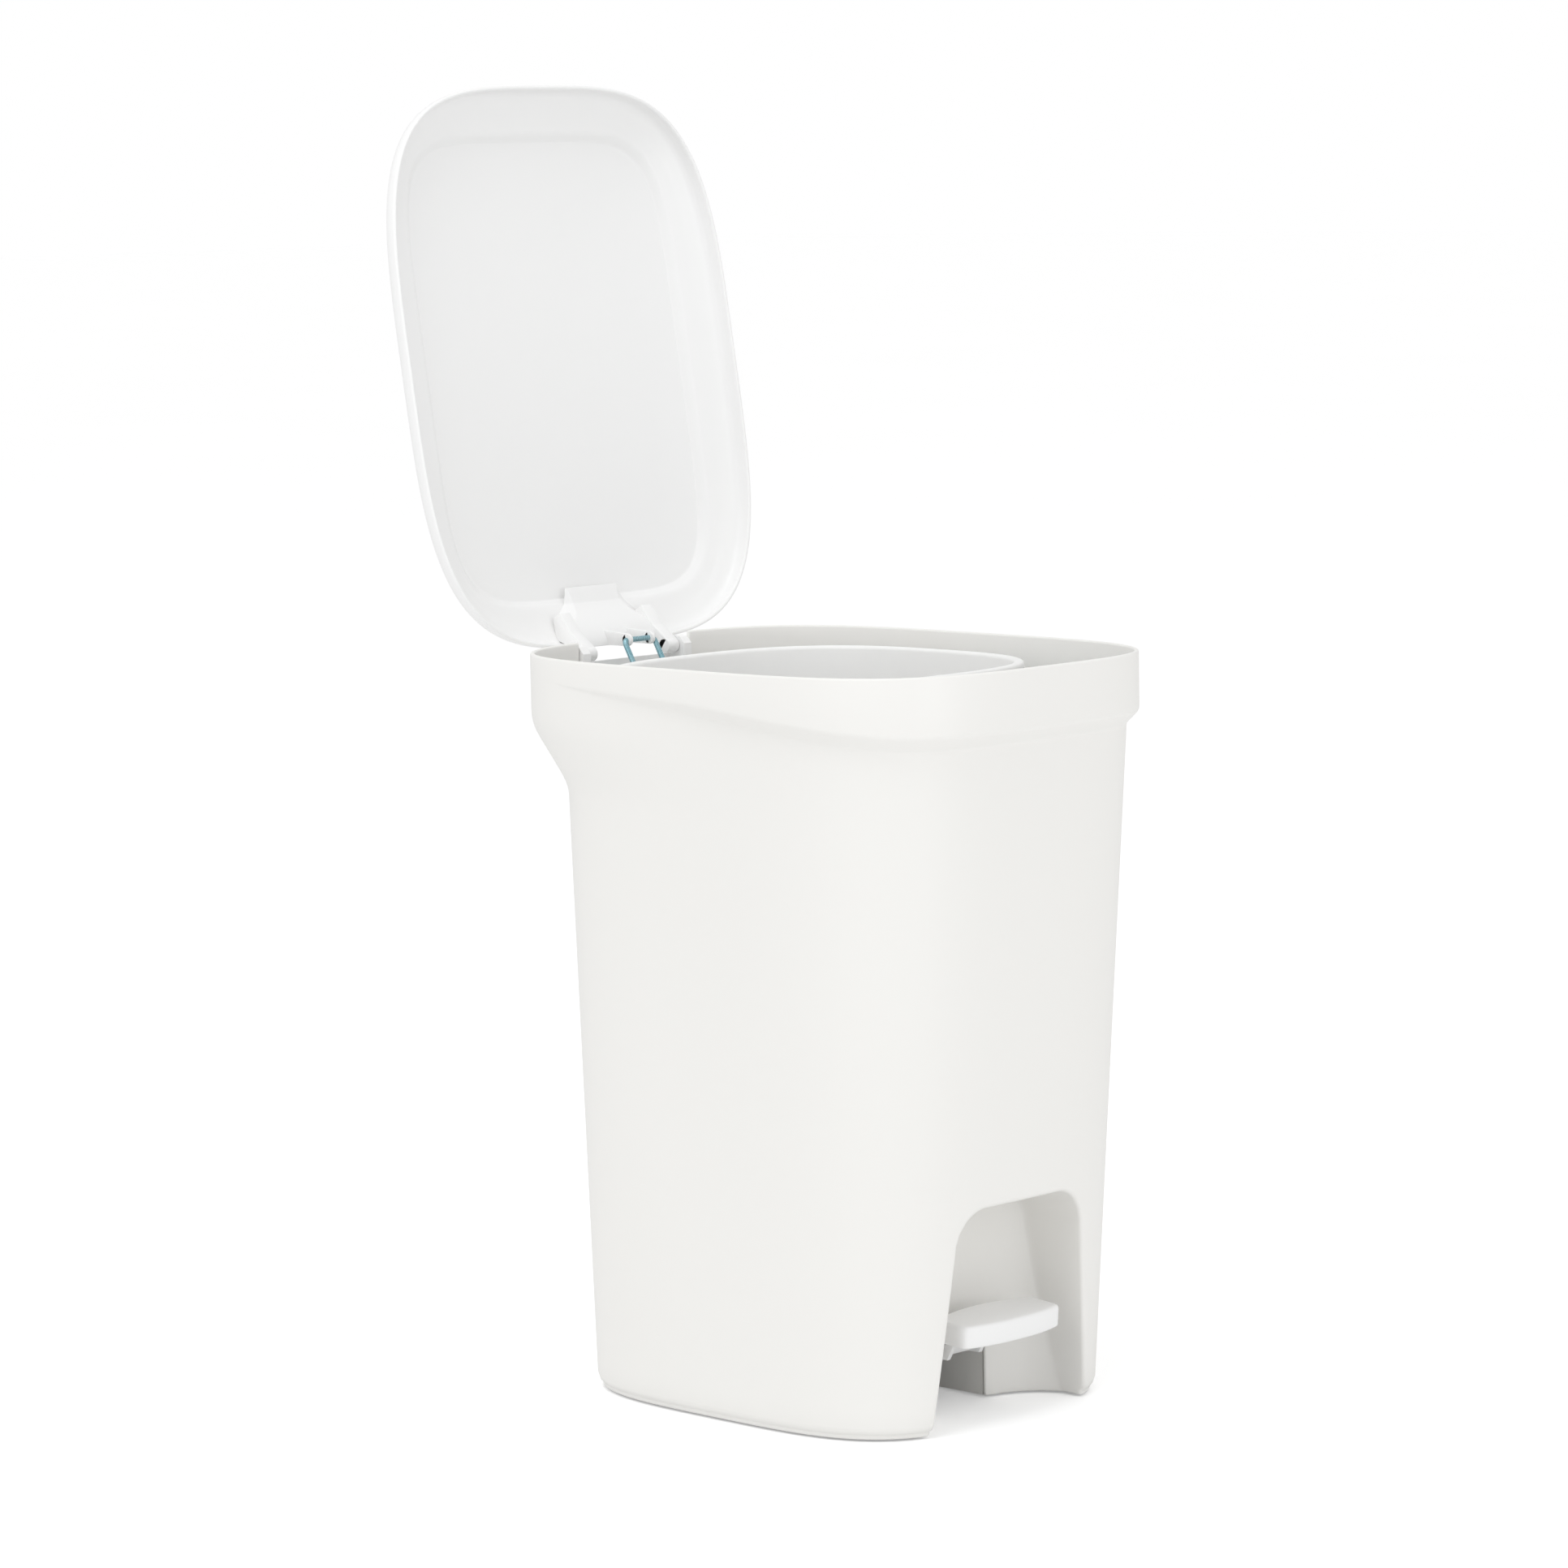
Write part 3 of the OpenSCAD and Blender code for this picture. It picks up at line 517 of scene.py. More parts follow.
def niche_lines(columns, left, right):
    """The niche's lines: from the wall's grid to the arch, over its lip, inwards and across its bay."""
    edge = [columns[left][j] for j in range(PATCH_ROW + 1)]
    edge += [columns[i][PATCH_ROW] for i in range(left + 1, right)]
    edge += [columns[right][j] for j in range(PATCH_ROW, -1, -1)]
    across = right - left
    insets = [inset for _, inset in LOW_ROWS[:-1]]
    insets += [0.0] * (len(edge) - 2 * len(insets)) + list(reversed(insets))
    outline = arch_line(LIP, across)
    lines = []
    for k in range(7):
        m = 1 - (1 - k / 6) ** 1.3
        line = []
        for o, p, inset in zip(edge, outline, insets):
            x, z = mix(o.x, p[0], m), mix(o.z, p[1], m)
            line.append(Vector((x, front_face(x, z, inset), z)))
        lines.append(line)
    for k in range(1, 7):
        angle = math.radians(15 * k)
        lines.append([Vector((x, front_face(x, z, inset) + LIP * (1 - math.cos(angle)), z))
                      for (x, z), inset in zip(arch_line(LIP * (1 - math.sin(angle)), across), insets)])
    arch, gate = arch_line(0, across), passage_line(across)
    inner = []
    for start, (xa, za), (xp, zp) in zip(lines[-1], arch, gate):
        deep = bay(xa)
        path = [start] + [Vector((xa, mix(start.y, deep, k / 4), za)) for k in (1, 2, 3, 4)]
        for k in range(1, 11):
            x, z = mix(xa, xp, k / 10), mix(za, zp, k / 10)
            path.append(Vector((x, bay(x), z)))
        inner.append(rounded(path, [0, 0, 0, 0, 9] + [0] * 10, 6)[1:])
    for k in range(len(inner[0])):
        lines.append([path[k] for path in inner])
    return lines


def cut_notch(bm):
    """The notch in the rear rim that takes the hinge block."""
    half, low = NOTCH_HALF + WALL / 2, NOTCH_LOW - WALL / 2

    def rear_faces(above, within):
        centres = ((f, f.calc_center_median()) for f in bm.faces)
        return [f for f, c in centres if c.y > 120 and c.z > above and abs(c.x) < within]

    for co, no in (((0, 0, low), (0, 0, 1)), ((half, 0, 0), (1, 0, 0)), ((-half, 0, 0), (1, 0, 0))):
        near = rear_faces(340, 60)
        geom = {v for f in near for v in f.verts} | {e for f in near for e in f.edges} | set(near)
        bmesh.ops.bisect_plane(bm, geom=list(geom), plane_co=co, plane_no=no)
    bmesh.ops.delete(bm, geom=rear_faces(low, half), context="FACES")


def body_mesh():
    columns = [body_column(t) for t in even_angles(RIM_A, RIM_B, SQUARE, BODY_COLUMNS)]
    front = BODY_COLUMNS * 3 // 4
    reach = next(k for k in range(1, 60) if abs(columns[front + k][4].x) > PATCH_HALF)
    left, right = front - reach, front + reach
    bm = bmesh.new()
    verts = [[bm.verts.new(p) for p in column] for column in columns]
    for i in range(BODY_COLUMNS):
        for j in range(len(columns[0]) - 1):
            if left <= i < right and j < PATCH_ROW:
                continue
            k = (i + 1) % BODY_COLUMNS
            bm.faces.new([verts[i][j], verts[k][j], verts[k][j + 1], verts[i][j + 1]])
    patch = [[bm.verts.new(p) for p in line] for line in niche_lines(columns, left, right)]
    for a, b in zip(patch, patch[1:]):
        for i in range(len(a) - 1):
            bm.faces.new([a[i], b[i], b[i + 1], a[i + 1]])
    bmesh.ops.remove_doubles(bm, verts=bm.verts, dist=0.01)
    bmesh.ops.recalc_face_normals(bm, faces=bm.faces)
    if max(bm.faces, key=lambda f: f.calc_center_median().y).normal.y < 0:
        bmesh.ops.reverse_faces(bm, faces=bm.faces)
    cut_notch(bm)
    thicken(bm, WALL)
    return bm


def cut_solid(name, keep, cutters):
    """A solid with others cut out of it; all are lists of (outline in X and Y, z0, z1)."""
    def prism(label, parts):
        bm = bmesh.new()
        for outline, z0, z1 in parts:
            low = [bm.verts.new((x, y, z0)) for x, y in outline]
            high = [bm.verts.new((x, y, z1)) for x, y in outline]
            close_rings(bm, [low, high])
        bmesh.ops.recalc_face_normals(bm, faces=bm.faces)
        mesh = bpy.data.meshes.new(label)
        bm.to_mesh(mesh)
        bm.free()
        obj = bpy.data.objects.new(label, mesh)
        bpy.context.scene.collection.objects.link(obj)
        return obj

    base = prism(name + "_base", [keep])
    tools = [prism(name + "_cut", [cutter]) for cutter in cutters]
    for tool in tools:
        cut = base.modifiers.new("cut", "BOOLEAN")
        cut.object = tool
        cut.operation = "DIFFERENCE"
        cut.solver = "EXACT"
    bpy.context.view_layer.update()
    result = base.evaluated_get(bpy.context.evaluated_depsgraph_get())
    bm = bmesh.new()
    bm.from_mesh(result.to_mesh())
    result.to_mesh_clear()
    for obj in [base] + tools:
        mesh = obj.data
        bpy.data.objects.remove(obj)
        bpy.data.meshes.remove(mesh)
    return bm


def oval(a, b, y, count=160, n=SQUARE):
    return [(a * power(math.cos(t), n), y + b * power(math.sin(t), n)) for t in even_angles(a, b, n,
                                                                                            count)]


def rectangle(x0, y0, x1, y1):
    return [(x0, y0), (x1, y0), (x1, y1), (x0, y1)]


body = finish_piece("body_shell", body_mesh(), body_white, "root", "outer_body")

BAY_CUT = NICHE_HALF + 2
bay_outline = [(x, bay(x) + 1) for x in (mix(-BAY_CUT, BAY_CUT, k / 60) for k in range(61))]
bay_cutter = ([(-BAY_CUT, -140)] + bay_outline + [(BAY_CUT, -140)], 0, 20)
channel_gap = (rectangle(-CHANNEL_HALF - 1, -90, CHANNEL_HALF + 1, CHANNEL_BACK + 1), 0, 20)
floor_plate = (oval(FOOT_A - 2.4, FOOT_B - 2.4, FOOT_Y), 5, 7.5)
floor_mesh = cut_solid("floor", floor_plate, [bay_cutter, channel_gap])
finish_piece("body_floor", floor_mesh, body_white, "root", None, 30)

deck_half = CHANNEL_HALF + WALL
POCKET_X, POCKET_Y = 44, 24.3
deck_block = (rectangle(-deck_half, NICHE_BACK + 1.5, deck_half, CHANNEL_BACK + WALL), 1.2, DECK)
bridge_pocket = (rectangle(-POCKET_X, PIVOT_Y - POCKET_Y, POCKET_X, PIVOT_Y + POCKET_Y), 0, 5)
channel = (rectangle(-CHANNEL_HALF, NICHE_BACK - 20, CHANNEL_HALF, CHANNEL_BACK), 0, CHANNEL_H)
wire_slot = (rectangle(-16, HOOK_Y - 6, 16, CHANNEL_BACK), CHANNEL_H - 2, DECK + 5)
deck_mesh = cut_solid("deck", deck_block, [bridge_pocket, channel, wire_slot])
finish_piece("lever_channel", deck_mesh, body_white, "root", None, 30)


def rib(y):
    """A cross rib that carries the bucket, trimmed to the body's inner wall on both sides."""
    sides = []
    for z in (6, DECK):
        a, b, mid = wall_size(z)
        half = (a - 1.5) * (1 - abs((y - mid) / (b - 1.5)) ** SQUARE) ** (1 / SQUARE)
        sides.append((half, z))
    outline = [(-sides[0][0], 6), (-sides[1][0], DECK), (-deck_half + 1, DECK), (-deck_half + 1, 6)]
    bm = bmesh.new()
    for sign in (1, -1):
        a = [bm.verts.new((sign * x, y, z)) for x, z in outline]
        b = [bm.verts.new((sign * x, y + 2.5, z)) for x, z in outline]
        close_rings(bm, [a, b])
    bmesh.ops.recalc_face_normals(bm, faces=bm.faces)
    bmesh.ops.bevel(bm, geom=list(bm.edges), offset=0.4, segments=2, profile=0.5, affect="EDGES")
    return bm


for rib_name, rib_y in (("front_rib", -40), ("rear_rib", 62)):
    finish_piece(rib_name, rib(rib_y), body_white, "root", None, 40)


# --- lid ------------------------------------------------------------------------------------------
opening = (Matrix.Translation((0, HINGE_Y, HINGE_Z)) @ Matrix.Rotation(math.radians(-OPEN_ANGLE), 4, "X")
           @ Matrix.Translation((0, -HINGE_Y, -HINGE_Z)))
LID_WALL, PANEL_SQUARE = 2.2, 5.5


def lid_mesh():
    border, step, edge, slope = 25, 4.5, 11.2, 4.5
    high = edge + slope + step
    profile = [Vector((0, LID_WALL / 2, 0)), Vector((0, 4.2, 0)), Vector((1.2, 8.2, 0)),
               Vector((4.5, edge, 0)),
               Vector((12, edge + slope * 0.45, 0)), Vector((border - 1.5, edge + slope, 0)),
               Vector((border + 2.5, high, 0)), Vector((border + 22, high + 1.75, 0)),
               Vector((border + 60, high + 3.5, 0))]
    profile = rounded(profile, [0, 2, 3, 4, 4, 1.4, 1.4, 10, 0])
    angles = even_angles(LID_A, LID_B, SQUARE, 240)
    rows = []
    for p in profile:
        n = mix(SQUARE, PANEL_SQUARE, smooth_step((p.x - 5) / (border - 5)))
        rows.append([Vector(((LID_A - p.x) * power(math.cos(t), n),
                             LID_Y + (LID_B - p.x) * power(math.sin(t), n),
                             LID_LOW + p.y)) for t in angles])
    last = rows[-1]
    middle = Vector((0, LID_Y, LID_LOW + high + 3.9))
    for m in (0.25, 0.5, 0.72, 0.9):
        rows.append([Vector((mix(p.x, middle.x, m), mix(p.y, middle.y, m),
                             mix(p.z, middle.z, m * (2 - m))))
                     for p in last])
    rows.reverse()
    bm = sheet_mesh(rows, cap=middle)
    bmesh.ops.recalc_face_normals(bm, faces=bm.faces)
    top = max(bm.faces, key=lambda f: f.calc_center_median().z)
    if top.normal.z < 0:
        bmesh.ops.reverse_faces(bm, faces=bm.faces)
    thicken(bm, LID_WALL)
    bmesh.ops.transform(bm, matrix=opening, verts=bm.verts)
    return bm


finish_piece("lid_shell", lid_mesh(), lid_white, "lid", "lid")

LID_BACK = HINGE_Y - 4.5
KNUCKLE_OUT, KNUCKLE_IN = 35.9, 27.5
LUG_IN, LUG_OUT = 7.5, 9.7
CRANK_R, CRANK_OPEN = 10.5, 38


def crossbar(angle):
    """Where the wire's crossbar stands, in Y and Z, with the lid's crank at an angle in degrees."""
    turn = math.radians(angle)
    return HINGE_Y - CRANK_R * math.cos(turn), HINGE_Z + CRANK_R * math.sin(turn)


CROSSBAR_Y, CROSSBAR_Z = crossbar(CRANK_OPEN - OPEN_ANGLE)


def tongue_mesh():
    """The tongue under the lid's rear border: narrow at the panel's step, wide at the hinge."""
    under = LID_LOW + 11.2 + 4.5 - LID_WALL
    # distance ahead of the hinge end, then the lower and upper heights, then their half widths
    stations = [(34, under + 0.2, under + 0.8, 19, 20),
                (30, under - 0.9, under + 0.8, 18, 21),
                (25, under - 2.4, under + 0.4, 18, 23),
                (20, LID_LOW + 7.6, under - 0.4, 20, 29),
                (14, LID_LOW + 2.6, LID_LOW + 11.6, 26, 34),
                (9, LID_LOW - 0.8, LID_LOW + 10, 33, KNUCKLE_OUT),
                (3, LID_LOW - 3.0, LID_LOW + 4.2, KNUCKLE_OUT - 0.4, KNUCKLE_OUT),
                (-0.6, LID_LOW - 3.6, LID_LOW - 1.8, KNUCKLE_OUT, KNUCKLE_OUT)]
    bm = bmesh.new()
    rings = [[bm.verts.new((x, LID_BACK - ahead_of, z))
              for x, z in ((-w, low), (w, low), (v, high), (-v, high))]
             for ahead_of, low, high, w, v in stations]
    close_rings(bm, rings)
    bmesh.ops.recalc_face_normals(bm, faces=bm.faces)
    long_edges = [e for e in bm.edges if e.calc_face_angle(0) > math.radians(18)]
    bmesh.ops.bevel(bm, geom=long_edges, offset=1.6, segments=4, profile=0.5, affect="EDGES",
                    clamp_overlap=True)
    bmesh.ops.transform(bm, matrix=opening, verts=bm.verts)
    return bm


finish_piece("lid_tongue", tongue_mesh(), lid_white, "lid", None, 50)

knuckle_plate = [(HINGE_Y - 3, HINGE_Z - 2.9), (HINGE_Y + 2.9, HINGE_Z + 3),
                 (LID_BACK - 2.2, LID_LOW + 3),
                 (LID_BACK - 6, LID_LOW + 10.2), (LID_BACK - 18, LID_LOW + 10.2),
                 (LID_BACK - 20, LID_LOW + 5),
                 (LID_BACK - 8, LID_LOW - 2)]
wire_lug = [(CROSSBAR_Y - 3.4, CROSSBAR_Z), (CROSSBAR_Y + 3.4, CROSSBAR_Z),
            (LID_BACK + 0.5, LID_LOW - 2.5),
            (LID_BACK - 6, LID_LOW + 3), (LID_BACK - 9, LID_LOW + 3)]
lid_plates = plates([(knuckle_plate, KNUCKLE_IN, KNUCKLE_OUT), (knuckle_plate, -KNUCKLE_OUT, -KNUCKLE_IN),
                     (wire_lug, LUG_IN, LUG_OUT), (wire_lug, -LUG_OUT, -LUG_IN)], 0.5)
bmesh.ops.transform(lid_plates, matrix=opening, verts=lid_plates.verts)
finish_piece("lid_knuckle_webs", lid_plates, lid_white, "lid", None, 40)


def eye(x0, x1, r, soft=0.6):
    return [(x0, r - soft), (x0 + soft * 0.3, r - soft * 0.3), (x0 + soft, r), (x1 - soft, r),
            (x1 - soft * 0.3, r - soft * 0.3), (x1, r - soft)]


for eye_name, profile, (y, z) in (
        ("lid_knuckles", eye(KNUCKLE_IN, KNUCKLE_OUT, 4.2), (HINGE_Y, HINGE_Z)),
        ("wire_lugs", eye(LUG_IN, LUG_OUT, 3.4, 0.4), (CROSSBAR_Y, CROSSBAR_Z))):
    eye_mesh = turned(profile, y, z, both=True)
    bmesh.ops.transform(eye_mesh, matrix=opening, verts=eye_mesh.verts)
    finish_piece(eye_name, eye_mesh, lid_white, "lid", None, 40)


# --- bucket ---------------------------------------------------------------------------------------
BUCKET_SQUARE = 2.8
BAIL_Z = BUCKET_TOP - 20


def bucket_mesh():
    a, b, draft, wall = 98, 96, 12, 1.8
    top, low = BUCKET_TOP, BUCKET_FLOOR
    profile = [Vector((-30, low + wall, 0)), Vector((-4.5, low + wall, 0)),
               Vector((-wall, low + wall + 4, 0))]
    profile += [Vector((-wall, mix(low + 8, top - 14, k / 14), 0)) for k in range(15)]
    profile += [Vector((-wall, top, 0)), Vector((3.5, top, 0)), Vector((3.5, top - 5, 0))]
    profile = rounded(profile, [0, 6, 3] + [0] * 15 + [2.2, 2.2, 0])
    angles = even_angles(a, b, BUCKET_SQUARE, 200)

    def ring(grow, z):
        m = (z - low) / (top - low)
        ra, rb = a - draft * (1 - m) + grow, b - draft * (1 - m) + grow
        return [Vector((ra * power(math.cos(t), BUCKET_SQUARE),
                        BUCKET_Y + rb * power(math.sin(t), BUCKET_SQUARE), z)) for t in angles]

    rows = [ring(p.x, p.y) for p in profile]
    middle = Vector((0, BUCKET_Y, low + wall))
    rows = [[mix(p, middle, m) for p in rows[0]] for m in (0.85, 0.6, 0.3)] + rows
    bm = sheet_mesh(rows, cap=middle)
    bmesh.ops.recalc_face_normals(bm, faces=bm.faces)
    floor_face = min(bm.faces, key=lambda f: (f.calc_center_median() - middle).length)
    if floor_face.normal.z < 0:
        bmesh.ops.reverse_faces(bm, faces=bm.faces)
    thicken(bm, wall)
    return bm


finish_piece("bucket_shell", bucket_mesh(), bucket_white, "root", "inner_bucket")
finish_piece("bail_lugs", turned(eye(95, 103, 6), BUCKET_Y, BAIL_Z, both=True), bucket_white,
             "root", None,
             40)


# --- wires ----------------------------------------------------------------------------------------
def bent(points, radii, per=10):
    """A rod's path with evenly fine bends and short steps along its straights."""
    path = rounded(points, radii, per)
    out = [path[0]]
    for p, q in zip(path, path[1:]):
        parts = max(1, int((q - p).length / 14))
        out += [mix(p, q, k / parts) for k in range(1, parts + 1)]
    return out


WIRE_R, LEG_X, HOOK_END = 1.5, 11.5, 4
KNEE_Y, KNEE_LEAN = 117, math.radians(30)
top_y, top_z = crossbar(CRANK_OPEN)
knee_z = top_z - (top_y - KNEE_Y) / math.tan(KNEE_LEAN)
half_wire = [Vector((HOOK_END, HOOK_Y, HOOK_Z)), Vector((LEG_X, HOOK_Y, HOOK_Z)),
             Vector((LEG_X, KNEE_Y, knee_z)), Vector((LEG_X, top_y, top_z))]


def mirrored(path):
    return [Vector((-p.x, p.y, p.z)) for p in reversed(path)]


wire_path = bent(half_wire + mirrored(half_wire), [0, 2.6, 12, 3.2, 3.2, 12, 2.6, 0])
finish_piece("lift_wire_rod", rod(wire_path, WIRE_R), blue_steel, "wire", "lift_wire")

BAIL_R, BAIL_REACH, BAIL_HALF, BAIL_GRIP = 2, 106.6, 106, 42
arm = [Vector((94.5, BUCKET_Y, BAIL_Z)), Vector((103.5, BUCKET_Y, BAIL_Z))]
for t in (math.radians(90 * k / 40) for k in range(40)):
    arm.append(Vector((BAIL_GRIP + (BAIL_HALF - BAIL_GRIP) * math.cos(t) ** 0.5,
                       BUCKET_Y - BAIL_REACH * math.sin(t) ** 0.75, BAIL_Z)))
arm.append(Vector((BAIL_GRIP, BUCKET_Y - BAIL_REACH, BAIL_Z)))
bail_path = arm + mirrored(arm)
finish_piece("bail_rod", rod(bail_path, BAIL_R), blue_steel, "bail", "bail")


# --- pedal ----------------------------------------------------------------------------------------
TREAD_FRONT, TREAD_Z, TREAD_HALF, TREAD_D = -127.3, 55, 38, 33
TREAD_TILT = math.radians(4.4)
tilted = Matrix.Translation((0, TREAD_FRONT, TREAD_Z)) @ Matrix.Rotation(TREAD_TILT, 4, "X")


def tread_mesh():
    """The tread: a shallow cap with soft edges, a bowed front and an apron all round."""
    corners = [Vector((TREAD_HALF * k / 8, TREAD_D - 7 * (k / 8) ** 2, 0)) for k in range(8, -9, -1)]
    corners += [Vector((TREAD_HALF * k / 8, 5 * abs(k / 8) ** 2.5, 0)) for k in range(-8, 9)]
    corners.append(corners[0])
    middle = corners[8]
    corners = corners[8:-1] + corners[:8] + [middle]
    radii = [0] + [4] * 7 + [7, 6] + [4] * 15 + [6, 7] + [4] * 7 + [0]
    line = rounded(corners, radii, 6)[:-1]
    # even steps round the outline
    ring = line + [line[0]]
    run = run_along(ring)
    even, k = [], 0
    count = 180
    for i in range(count):
        want = run[-1] * i / count
        while run[k + 1] < want:
            k += 1
        even.append(mix(ring[k], ring[k + 1], (want - run[k]) / max(run[k + 1] - run[k], 1e-6)))
    centre = Vector((0, TREAD_D / 2, 0))
    outward = []
    for i, p in enumerate(even):
        d = even[(i + 2) % count] - even[i - 2]
        n = Vector((d.y, -d.x, 0)).normalized()
        outward.append(n if n.dot(p - centre) > 0 else -n)
    rows = []
    for inset, z in ([(0, -12 + 1.25), (0, -8), (0, -4.6)]
                     + [(2.2 * (1 - math.cos(math.radians(a))), -2.2 + 2.2 * math.sin(math.radians(a)))
                        for a in range(0, 91, 15)] + [(4, 0.05)]):
        rows.append([p - n * inset + Vector((0, 0, z)) for p, n in zip(even, outward)])
    last = rows[-1]
    for m in (0.2, 0.45, 0.7, 0.9):
        rows.append([Vector((mix(p.x, centre.x, m), mix(p.y, centre.y, m), p.z)) for p in last])
    rows.reverse()
    bm = sheet_mesh(rows, cap=centre + Vector((0, 0, 0.05)))
    bmesh.ops.recalc_face_normals(bm, faces=bm.faces)
    top = max(bm.faces, key=lambda f: f.calc_center_median().z)
    if top.normal.z < 0:
        bmesh.ops.reverse_faces(bm, faces=bm.faces)
    thicken(bm, 2.5)
    bmesh.ops.transform(bm, matrix=tilted, verts=bm.verts)
    return bm


finish_piece("pedal_tread", tread_mesh(), lid_white, "pedal", "pedal")

LEVER_OUT, LEVER_REAR = 14, HOOK_Y - 24
NECK_FRONT, NECK_BACK, NECK_TOP = NICHE_BACK - 6, NICHE_BACK + WALL + 6, LEVER_PASS_TOP - 16.7
lever_side = [(TREAD_FRONT + 8, TREAD_Z - 3.2), (TREAD_FRONT + 12, TREAD_Z - 11),
              (NECK_FRONT - 12, TREAD_Z - 11),
              (NECK_FRONT - 4, NECK_TOP - 5), (NECK_BACK, NECK_TOP - 5),
              (PIVOT_Y - 8, PIVOT_Z - 5), (PIVOT_Y + 8, PIVOT_Z - 5),
              (LEVER_REAR, HOOK_Z - 14), (LEVER_REAR, HOOK_Z - 1), (PIVOT_Y, PIVOT_Z + 9),
              (NECK_BACK + 4, NECK_TOP),
              (NECK_FRONT, NECK_TOP), (TREAD_FRONT + TREAD_D - 4, TREAD_Z - 1.6)]
lever_web = [(TREAD_FRONT + TREAD_D - 5, TREAD_Z - 1.4), (TREAD_FRONT + TREAD_D - 7, TREAD_Z - 4),
             (NECK_FRONT - 2, NECK_TOP - 3), (NECK_BACK + 4, NECK_TOP - 3), (PIVOT_Y, PIVOT_Z + 5),
             (LEVER_REAR, HOOK_Z - 4), (LEVER_REAR, HOOK_Z - 1), (PIVOT_Y, PIVOT_Z + 9),
             (NECK_BACK + 4, NECK_TOP),
             (NECK_FRONT, NECK_TOP)]
TAIL_HALF = 8
tail_end = HOOK_Y + 5.6
tail_top = [(LEVER_REAR - 8, HOOK_Z - 3), (LEVER_REAR - 8, HOOK_Z - 7), (HOOK_Y - 6, HOOK_Z + 2),
            (tail_end - 2, HOOK_Z + 2), (tail_end, HOOK_Z + 2), (tail_end - 1.5, HOOK_Z + 4),
            (HOOK_Y - 6, HOOK_Z + 4)]
tail_low = [(LEVER_REAR - 8, HOOK_Z - 8), (LEVER_REAR - 8, HOOK_Z - 13), (HOOK_Y - 6, HOOK_Z - 5.2),
            (tail_end - 1.5, HOOK_Z - 5.2), (tail_end, HOOK_Z - 3.2), (HOOK_Y - 6, HOOK_Z - 3.2)]
tail_back = [(tail_end - 2, HOOK_Z - 3), (tail_end, HOOK_Z - 3),
             (tail_end, HOOK_Z + 3), (tail_end - 2, HOOK_Z + 3)]
tail_front = [(LEVER_REAR - 8, HOOK_Z - 13), (HOOK_Y - 6.4, HOOK_Z - 4.4), (HOOK_Y - 6.4, HOOK_Z + 4.4),
              (LEVER_REAR - 8, HOOK_Z - 3)]
lever = plates([(lever_side, LEVER_OUT - 3, LEVER_OUT), (lever_side, -LEVER_OUT, -LEVER_OUT + 3),
                (lever_web, -LEVER_OUT + 1, LEVER_OUT - 1)]
               + [(tail, -TAIL_HALF, TAIL_HALF) for tail in (tail_top, tail_low, tail_back,
                                                             tail_front)], 0.5)
finish_piece("pedal_lever", lever, lid_white, "pedal", None, 40)
finish_piece("pedal_hub", turned(eye(-16, 16, 6), PIVOT_Y, PIVOT_Z), lid_white, "pedal", None,
             40)


# --- CAD pieces kept as they are ------------------------------------------------------------------
kept = {
    "hinge_block": lid_white, "hinge_pin_left": pin_steel, "hinge_pin_right": pin_steel,
    "pedal_pin": pin_steel, "pivot_bridge": body_white, "bridge_screws": pin_steel,
    "bail_grip": bucket_white,
    "foot_front_left": grey_rubber, "foot_front_right": grey_rubber, "foot_rear_left": grey_rubber,
    "foot_rear_right": grey_rubber}
for kept_name, material in kept.items():
    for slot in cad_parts[kept_name].material_slots:
        slot.material = material


# --- floor, light and camera ----------------------------------------------------------------------
def floor_piece():
    bm = bmesh.new()
    bmesh.ops.create_grid(bm, x_segments=12, y_segments=12, size=28.0)
    mesh = bpy.data.meshes.new("studio_floor")
    bm.to_mesh(mesh)
    bm.free()
    floor = bpy.data.objects.new("studio_floor", mesh)
    bpy.context.scene.collection.objects.link(floor)
    paper, tree, shader = new_material("white paper")
    coords = tree.nodes.new("ShaderNodeTexCoord").outputs["Object"]
    tone = blend_colour(tree, noise(tree, coords, 1.5, 2.0), (0.93, 0.93, 0.93, 1), (0.95, 0.95, 0.95, 1))
    tree.links.new(tone, shader.inputs["Base Color"])
    shader.inputs["Roughness"].default_value = 0.9
    shader.inputs["Emission Color"].default_value = (1, 1, 1, 1)
    seen_ray = tree.nodes.new("ShaderNodeLightPath").outputs["Is Camera Ray"]
    tree.links.new(spread(tree, seen_ray, 0, 1, 0.0, 0.3), shader.inputs["Emission Strength"])
    mesh.materials.append(paper)


floor_piece()


COOL_WHITE = (0.97, 0.985, 1.0)


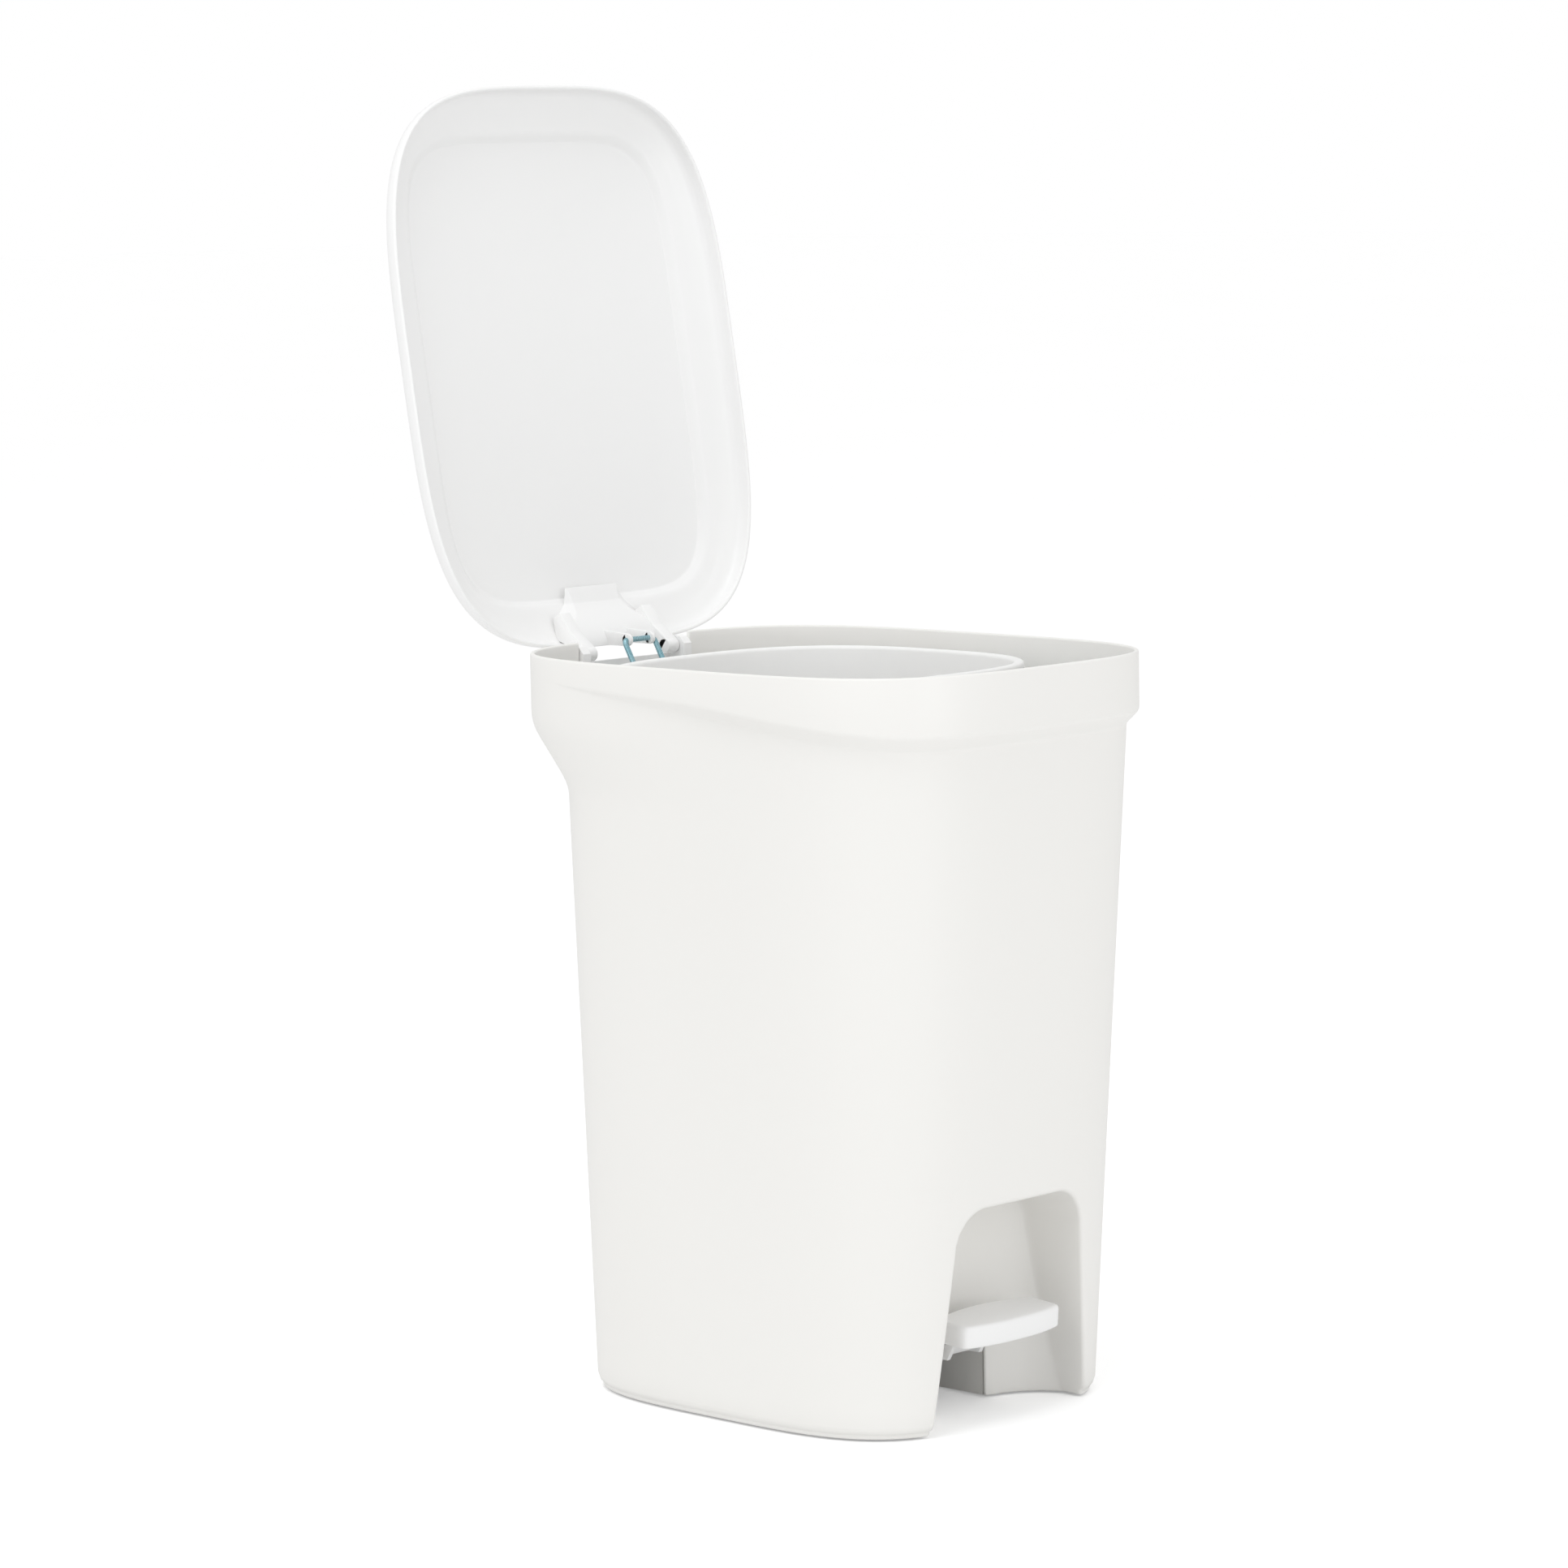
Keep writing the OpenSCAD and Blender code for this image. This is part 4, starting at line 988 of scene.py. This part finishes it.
def soft_light(name, where, size, power_w):
    light = bpy.data.lights.new(name, "AREA")
    light.shape = "DISK"
    light.size = size
    light.energy = power_w
    light.color = COOL_WHITE
    lamp = bpy.data.objects.new(name, light)
    lamp.location = where
    lamp.rotation_euler = (Vector((0, 0, 0.3)) - Vector(where)).to_track_quat("-Z", "Y").to_euler()
    bpy.context.scene.collection.objects.link(lamp)


soft_light("key_softbox", (-2.6, -0.2, 1.8), 1.8, 8.5)
soft_light("front_softbox", (0.2, -3.0, 1.1), 2.0, 7)
soft_light("low_softbox", (-0.1, -2.7, 0.3), 1.2, 4.5)
soft_light("top_softbox", (-1.0, -0.1, 2.8), 1.6, 17)

world = bpy.data.worlds.new("studio")
bpy.context.scene.world = world
world.use_nodes = True
sky = next(n for n in world.node_tree.nodes if n.type == "BACKGROUND")
sky.inputs["Color"].default_value = (1, 1, 1, 1)
seen = world.node_tree.nodes.new("ShaderNodeLightPath").outputs["Is Camera Ray"]
world.node_tree.links.new(spread(world.node_tree, seen, 0, 1, 0.74, 1.0), sky.inputs["Strength"])

bpy.context.scene.view_settings.view_transform = "Standard"

azimuth, swing, pitch, roll = (math.radians(v) for v in (-46.654, 0.864, -6.754, -1.100))
away, height = 2.87715, 0.66708
heading = azimuth + swing
ahead = Vector((-math.sin(heading) * math.cos(pitch), math.cos(heading) * math.cos(pitch),
                math.sin(pitch)))
right_hand = ahead.cross(Vector((0, 0, 1))).normalized()
up = right_hand.cross(ahead)
side = right_hand * math.cos(roll) + up * math.sin(roll)
up = up * math.cos(roll) - right_hand * math.sin(roll)
lens = bpy.data.cameras.new("camera")
lens.sensor_width = 36
lens.lens = 124.4
lens.shift_x, lens.shift_y = 0.0197, 0.0031
lens.clip_start, lens.clip_end = 0.1, 60
camera = bpy.data.objects.new("camera", lens)
place = Matrix.Translation((math.sin(azimuth) * away, -math.cos(azimuth) * away, height))
camera.matrix_world = place @ Matrix((side, up, -ahead)).transposed().to_4x4()
bpy.context.scene.collection.objects.link(camera)
bpy.context.scene.camera = camera
